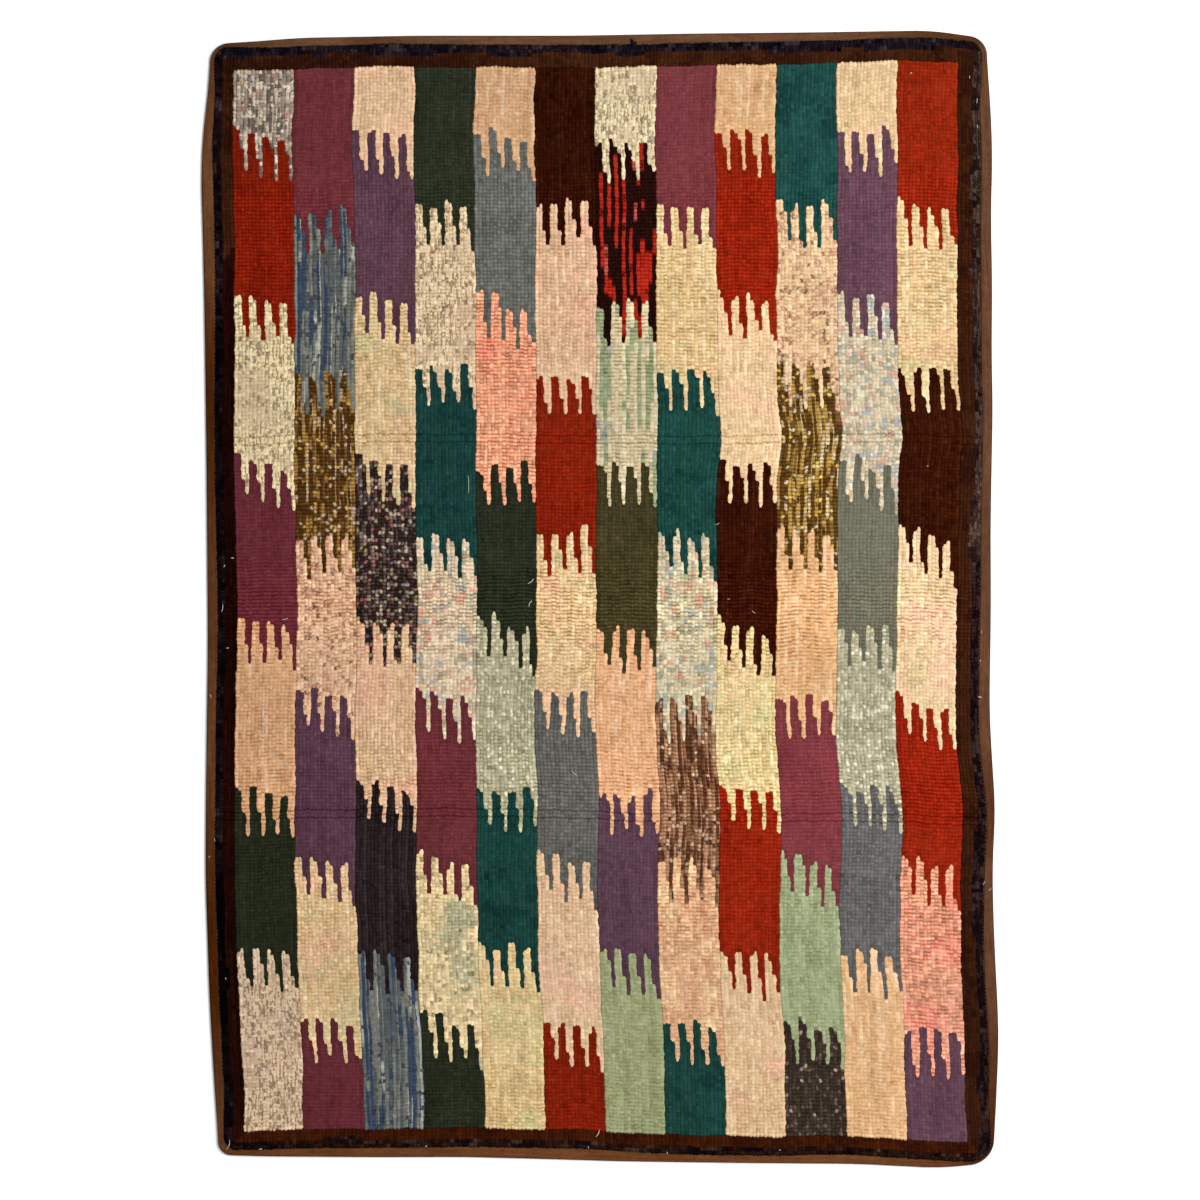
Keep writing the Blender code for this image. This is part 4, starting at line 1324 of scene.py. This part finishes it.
class Graph:
    """A material's nodes, with one short method for each kind that is used."""

    def __init__(self, name):
        self.material = bpy.data.materials.new(name)
        self.material.use_nodes = True
        self.nodes = self.material.node_tree.nodes
        self.links = self.material.node_tree.links
        self.shader = self.nodes["Principled BSDF"]

    def feed(self, socket, value):
        if isinstance(value, bpy.types.NodeSocket):
            self.links.new(value, socket)
        else:
            socket.default_value = value

    def node(self, kind, *values, **settings):
        """The outputs of a new node with these settings, and with values for its first inputs."""
        node = self.nodes.new(f"ShaderNode{kind}")
        for name, setting in settings.items():
            setattr(node, name, setting)
        for socket, value in zip(node.inputs, values):
            self.feed(socket, value)
        return node.outputs

    def attribute(self, name):
        return self.node("Attribute", attribute_name=name)

    def place(self):
        return self.node("TexCoord")["Object"]

    def math(self, operation, *values):
        return self.node("Math", *values, operation=operation)[0]

    def times(self, first, second):
        return self.math("MULTIPLY", first, second)

    def plus(self, first, second):
        return self.math("ADD", first, second)

    def wave(self, value, per_unit):
        """The sine of a value that is scaled up first."""
        return self.math("SINE", self.times(value, per_unit))

    def noise(self, place, scale, detail=3.0, roughness=0.6):
        no_time = 0.0
        return self.node("TexNoise", place, no_time, scale, detail, roughness)[0]

    def span(self, value, low, high, new_low, new_high):
        """value, carried smoothly from the range low to high onto a new one."""
        limits = (low, high, new_low, new_high)
        return self.node("MapRange", value, *limits, interpolation_type="SMOOTHSTEP")[0]

    def mix(self, share, first, second):
        """A mix of two colours. The node has unlabelled sockets for numbers and vectors before these."""
        node = self.nodes.new("ShaderNodeMix")
        node.data_type = "RGBA"
        inputs = {socket.identifier: socket for socket in node.inputs}
        self.feed(inputs["Factor_Float"], share)
        self.feed(inputs["A_Color"], first)
        self.feed(inputs["B_Color"], second)
        return next(socket for socket in node.outputs if socket.identifier == "Result_Color")

    def scaled(self, colour, factor):
        """A colour times a number."""
        node = self.nodes.new("ShaderNodeVectorMath")
        node.operation = "SCALE"
        self.feed(node.inputs[0], colour)
        self.feed(node.inputs["Scale"], factor)
        return node.outputs[0]

    def twice(self, colour):
        """A colour as light has it after a second bounce off the yarn: as bright, but stronger."""
        square = self.node("VectorMath", colour, colour, operation="MULTIPLY")["Vector"]
        level = self.node("VectorMath", colour, (1 / 3, 1 / 3, 1 / 3), operation="DOT_PRODUCT")["Value"]
        return self.scaled(square, self.math("DIVIDE", 1.0, level))

    def parts(self, vector):
        return self.node("SeparateXYZ", vector)

    def vector(self, x, y):
        return self.node("CombineXYZ", x, y)[0]

    def bump(self, height, distance):
        node = self.nodes.new("ShaderNodeBump")
        node.inputs["Distance"].default_value = distance
        self.feed(node.inputs["Height"], height)
        return node.outputs[0]

    def finish(self, colour, roughness, normal, sheen=0.0):
        self.feed(self.shader.inputs["Base Color"], colour)
        self.feed(self.shader.inputs["Roughness"], roughness)
        self.feed(self.shader.inputs["Normal"], normal)
        self.shader.inputs["Specular IOR Level"].default_value = 0.0
        self.shader.inputs["Sheen Weight"].default_value = sheen
        self.shader.inputs["Sheen Roughness"].default_value = 0.45
        return self.material


# Noise comes out between about these two values, so these ends of its range are spread over a new one.
NOISE = (0.3, 0.7)
# What the materials are made from. "fibres" and "cells" say how fine their noise is, to the metre. "bright"
# and "rough" are pairs where they follow the noise. "relief" is how high each part of the bump is.
WOOL = {
    "fibres": 1400.0,
    "bright": (0.86, 1.12),
    "rough": (0.86, 0.98),
    "twist": {"row": 6.9, "loop": 12.3},  # how far the plies turn over a row and over a loop, in radians
    "relief": {"ply": 0.35, "fibre": 1.4},
    "bump": 0.12 * MM,
}
LOOSE_WOOL = {"fibres": 1600.0, "bright": (0.75, 1.0), "rough": 0.95, "bump": 0.2 * MM}
STITCHES = {
    "fibres": 1100.0,
    "bright": (0.7, 1.0),
    "rough": 0.95,
    "ends": {"row": (0.26, 0.38), "loop": (0.40, 0.48)},  # where a stitch fades, from its middle
    "left": {"row": 0.0, "loop": 0.25},  # how much of it is left beyond
    "threads": ((0.20, 0.125, 0.062, 1.0), (0.34, 0.235, 0.125, 1.0)),
    "relief": {"fibre": 0.4},
    "bump": 0.5 * MM,
    "sheen": 0.1,
}
TAPE = {
    # Its two sets of threads: their slant, their radians to the metre, and their height.
    "weave": ((1.3, 5200.0, 0.6), (-1.0, 9000.0, 0.3)),
    "weave_light": 0.04,
    # Over such a range of a noise, or of the way round the tape's section, its brightness changes.
    "patches": {"cells": 14.0, "range": (0.35, 0.65), "bright": (0.92, 1.08)},
    "streaks": {"cells": (22.0, 420.0), "range": (0.34, 0.64), "bright": (0.84, 1.2)},
    # painted shade on the outer edge, where the tape rolls over: darker over that range of the way round its
    # section
    "fold": {"range": (1.8 * MM, 4.2 * MM), "bright": (0.55, 1.0)},
    "grain": {"cells": 160.0, "bright": (0.84, 1.1), "relief": 2.0},
    "rough": (0.78, 0.92),
    "bump": 0.1 * MM,
    "sheen": 0.03,
}
CLOTH = {
    "threads": ((0.16, 0.10, 0.05, 1.0), (0.42, 0.30, 0.17, 1.0)),
    "turns": 1500.0,  # of its threads, in radians to the metre
    "cells": 220.0,
    "rough": 0.95,
    "bump": 0.3 * MM,
}
FLOOR = {
    "greys": ((0.93, 0.93, 0.93, 1.0), (0.95, 0.95, 0.95, 1.0)),
    "cells": 60.0,
    "rough": 0.9,
    "bump": 0.05 * MM,
}


def loops_material():
    """Wool loops: the yarns' colours, shaded gaps, plies and fibres."""
    graph = Graph("wool_loops")
    row, loop, _ = graph.parts(graph.attribute("grid_place")["Vector"])
    fibre = graph.noise(graph.place(), WOOL["fibres"])
    twist, relief = WOOL["twist"], WOOL["relief"]
    ply = graph.math("SINE", graph.plus(graph.times(row, twist["row"]), graph.times(loop, twist["loop"])))
    shade = graph.span(graph.attribute("crest")["Fac"], 0.0, 1.0, DEEPEST_SHADE, 1.0)
    light = graph.times(shade, graph.span(fibre, *NOISE, *WOOL["bright"]))
    yarn = graph.attribute("yarn")["Color"]
    glowing = graph.mix(graph.math("SUBTRACT", 1.0, shade), yarn, graph.twice(yarn))
    height = graph.plus(graph.times(ply, relief["ply"]), graph.times(fibre, relief["fibre"]))
    roughness = graph.span(fibre, *NOISE, *WOOL["rough"])
    return graph.finish(graph.scaled(glowing, light), roughness, graph.bump(height, WOOL["bump"]))


def bits_material():
    """Loose fibres and yarn ends."""
    graph = Graph("loose_wool")
    fibre = graph.noise(graph.place(), LOOSE_WOOL["fibres"])
    light = graph.span(fibre, *NOISE, *LOOSE_WOOL["bright"])
    colour = graph.scaled(graph.attribute("yarn")["Color"], light)
    return graph.finish(colour, LOOSE_WOOL["rough"], graph.bump(fibre, LOOSE_WOOL["bump"]))


def backs_material():
    """The rug's back: flat stitches of yarn, with the foundation cloth's threads between them."""
    graph = Graph("stitch_backs")
    row, loop, _ = graph.parts(graph.attribute("grid_place")["Vector"])
    fibre = graph.noise(graph.place(), STITCHES["fibres"])
    to_row, to_loop = (
        graph.math("ABSOLUTE", graph.math("SUBTRACT", graph.math("FRACT", part), 0.5)) for part in (row, loop)
    )
    ends, left = STITCHES["ends"], STITCHES["left"]
    in_row = graph.span(to_row, *ends["row"], 1.0, left["row"])
    in_loop = graph.span(to_loop, *ends["loop"], 1.0, left["loop"])
    stitch = graph.times(in_row, in_loop)
    cloth = graph.mix(fibre, *STITCHES["threads"])
    light = graph.span(fibre, *NOISE, *STITCHES["bright"])
    yarn = graph.scaled(graph.attribute("yarn")["Color"], light)
    height = graph.plus(stitch, graph.times(fibre, STITCHES["relief"]["fibre"]))
    bump = graph.bump(height, STITCHES["bump"])
    return graph.finish(graph.mix(stitch, cloth, yarn), STITCHES["rough"], bump, STITCHES["sheen"])


def tape_material():
    """Brown cotton tape: fine slanting weave, paler places, rubbed streaks, and painted shade where it rolls
    over its outer edge.
    """
    graph = Graph("cotton_tape")
    place = graph.place()
    along, girth, _ = graph.parts(graph.attribute("tape_place")["Vector"])
    twill, cross = (
        graph.times(graph.wave(graph.plus(along, graph.times(girth, slant)), turns), height)
        for slant, turns, height in TAPE["weave"]
    )
    weave = graph.plus(twill, cross)
    patches, streaks, fold, grain = (TAPE[name] for name in ("patches", "streaks", "fold", "grain"))
    broad = graph.noise(place, patches["cells"], 4.0)
    lengthwise = graph.vector(*(graph.times(*pair) for pair in zip((along, girth), streaks["cells"])))
    rubbed = graph.noise(lengthwise, 1.0, 4.0)
    fine = graph.noise(place, grain["cells"], 4.0, 0.65)
    brown = graph.attribute("tape_brown")["Color"]
    for noise, spread in ((broad, patches), (rubbed, streaks)):
        brown = graph.scaled(brown, graph.span(noise, *spread["range"], *spread["bright"]))
    light = graph.plus(graph.span(fine, *NOISE, *grain["bright"]), graph.times(weave, TAPE["weave_light"]))
    # Painted shade where the tape rolls over its outer edge.
    light = graph.times(light, graph.span(girth, *fold["range"], *fold["bright"]))
    bump = graph.bump(graph.plus(weave, graph.times(fine, grain["relief"])), TAPE["bump"])
    roughness = graph.span(fine, *NOISE, *TAPE["rough"])
    return graph.finish(graph.scaled(brown, light), roughness, bump, TAPE["sheen"])


def cloth_material():
    """Coarse foundation cloth: plain weave of uneven tan threads."""
    graph = Graph("foundation_weave")
    place = graph.place()
    x, y, _ = graph.parts(place)
    warp, weft = (graph.math("ABSOLUTE", graph.wave(part, CLOTH["turns"])) for part in (x, y))
    weave = graph.times(warp, weft)
    share = graph.times(weave, graph.noise(place, CLOTH["cells"], 4.0))
    colour = graph.mix(share, *CLOTH["threads"])
    return graph.finish(colour, CLOTH["rough"], graph.bump(weave, CLOTH["bump"]))


def floor_material():
    graph = Graph("pale_floor")
    grain = graph.noise(graph.place(), FLOOR["cells"], roughness=0.5)
    return graph.finish(graph.mix(grain, *FLOOR["greys"]), FLOOR["rough"], graph.bump(grain, FLOOR["bump"]))


# ---- The studio ----


def make_studio():
    """A pale floor, soft light from above, and the camera straight above the rug."""
    scene = bpy.context.scene
    mesh = bpy.data.meshes.new("floor")
    signs = ((-1, -1), (1, -1), (1, 1), (-1, 1))
    corners = [(x * FLOOR_REACH, y * FLOOR_REACH, -FLOOR_DROP) for x, y in signs]
    mesh.from_pydata(corners, [], [(0, 1, 2, 3)])
    mesh.materials.append(floor_material())
    floor = bpy.data.objects.new("floor", mesh)
    scene.collection.objects.link(floor)

    world = bpy.data.worlds.new("studio")
    world.use_nodes = True
    background = world.node_tree.nodes["Background"]
    background.inputs["Color"].default_value = (1.0, 1.0, 1.0, 1.0)
    background.inputs["Strength"].default_value = WORLD_LIGHT
    scene.world = world

    lamp = bpy.data.lights.new("soft_light", "AREA")
    lamp.shape = "DISK"
    lamp.size = LAMP_SIZE
    lamp.energy = LAMP_POWER
    light = bpy.data.objects.new("soft_light", lamp)
    light.location = LAMP_AT
    light.rotation_euler = (-Vector(LAMP_AT)).to_track_quat("-Z", "Y").to_euler()
    scene.collection.objects.link(light)

    camera = bpy.data.cameras.new("camera")
    camera.sensor_width = SENSOR
    camera.lens = SENSOR * (CAMERA_HEIGHT - PILE_TOP) / FRAME_WIDTH
    camera.clip_end = 100.0
    eye = bpy.data.objects.new("camera", camera)
    eye.location = (*FRAME_CENTRE, CAMERA_HEIGHT)
    scene.collection.objects.link(eye)
    scene.camera = eye
    scene.view_settings.view_transform = "Standard"


def main():
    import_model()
    random = np.random.default_rng(SEED)
    centre = middle_of_outline()
    chart, tone = chart_loops(random)
    colours = loop_colours(random, chart, tone)
    surface = surface_points(random, chart, centre)
    shade = crest_shade(random, chart)
    piles = make_all_piles(surface, colours, shade, [loops_material(), backs_material()])
    tape = make_tape(random, centre, tape_material())
    bits = make_loose_bits(bits_material())
    cloth = make_cloth(centre, cloth_material())
    make_studio()


main()
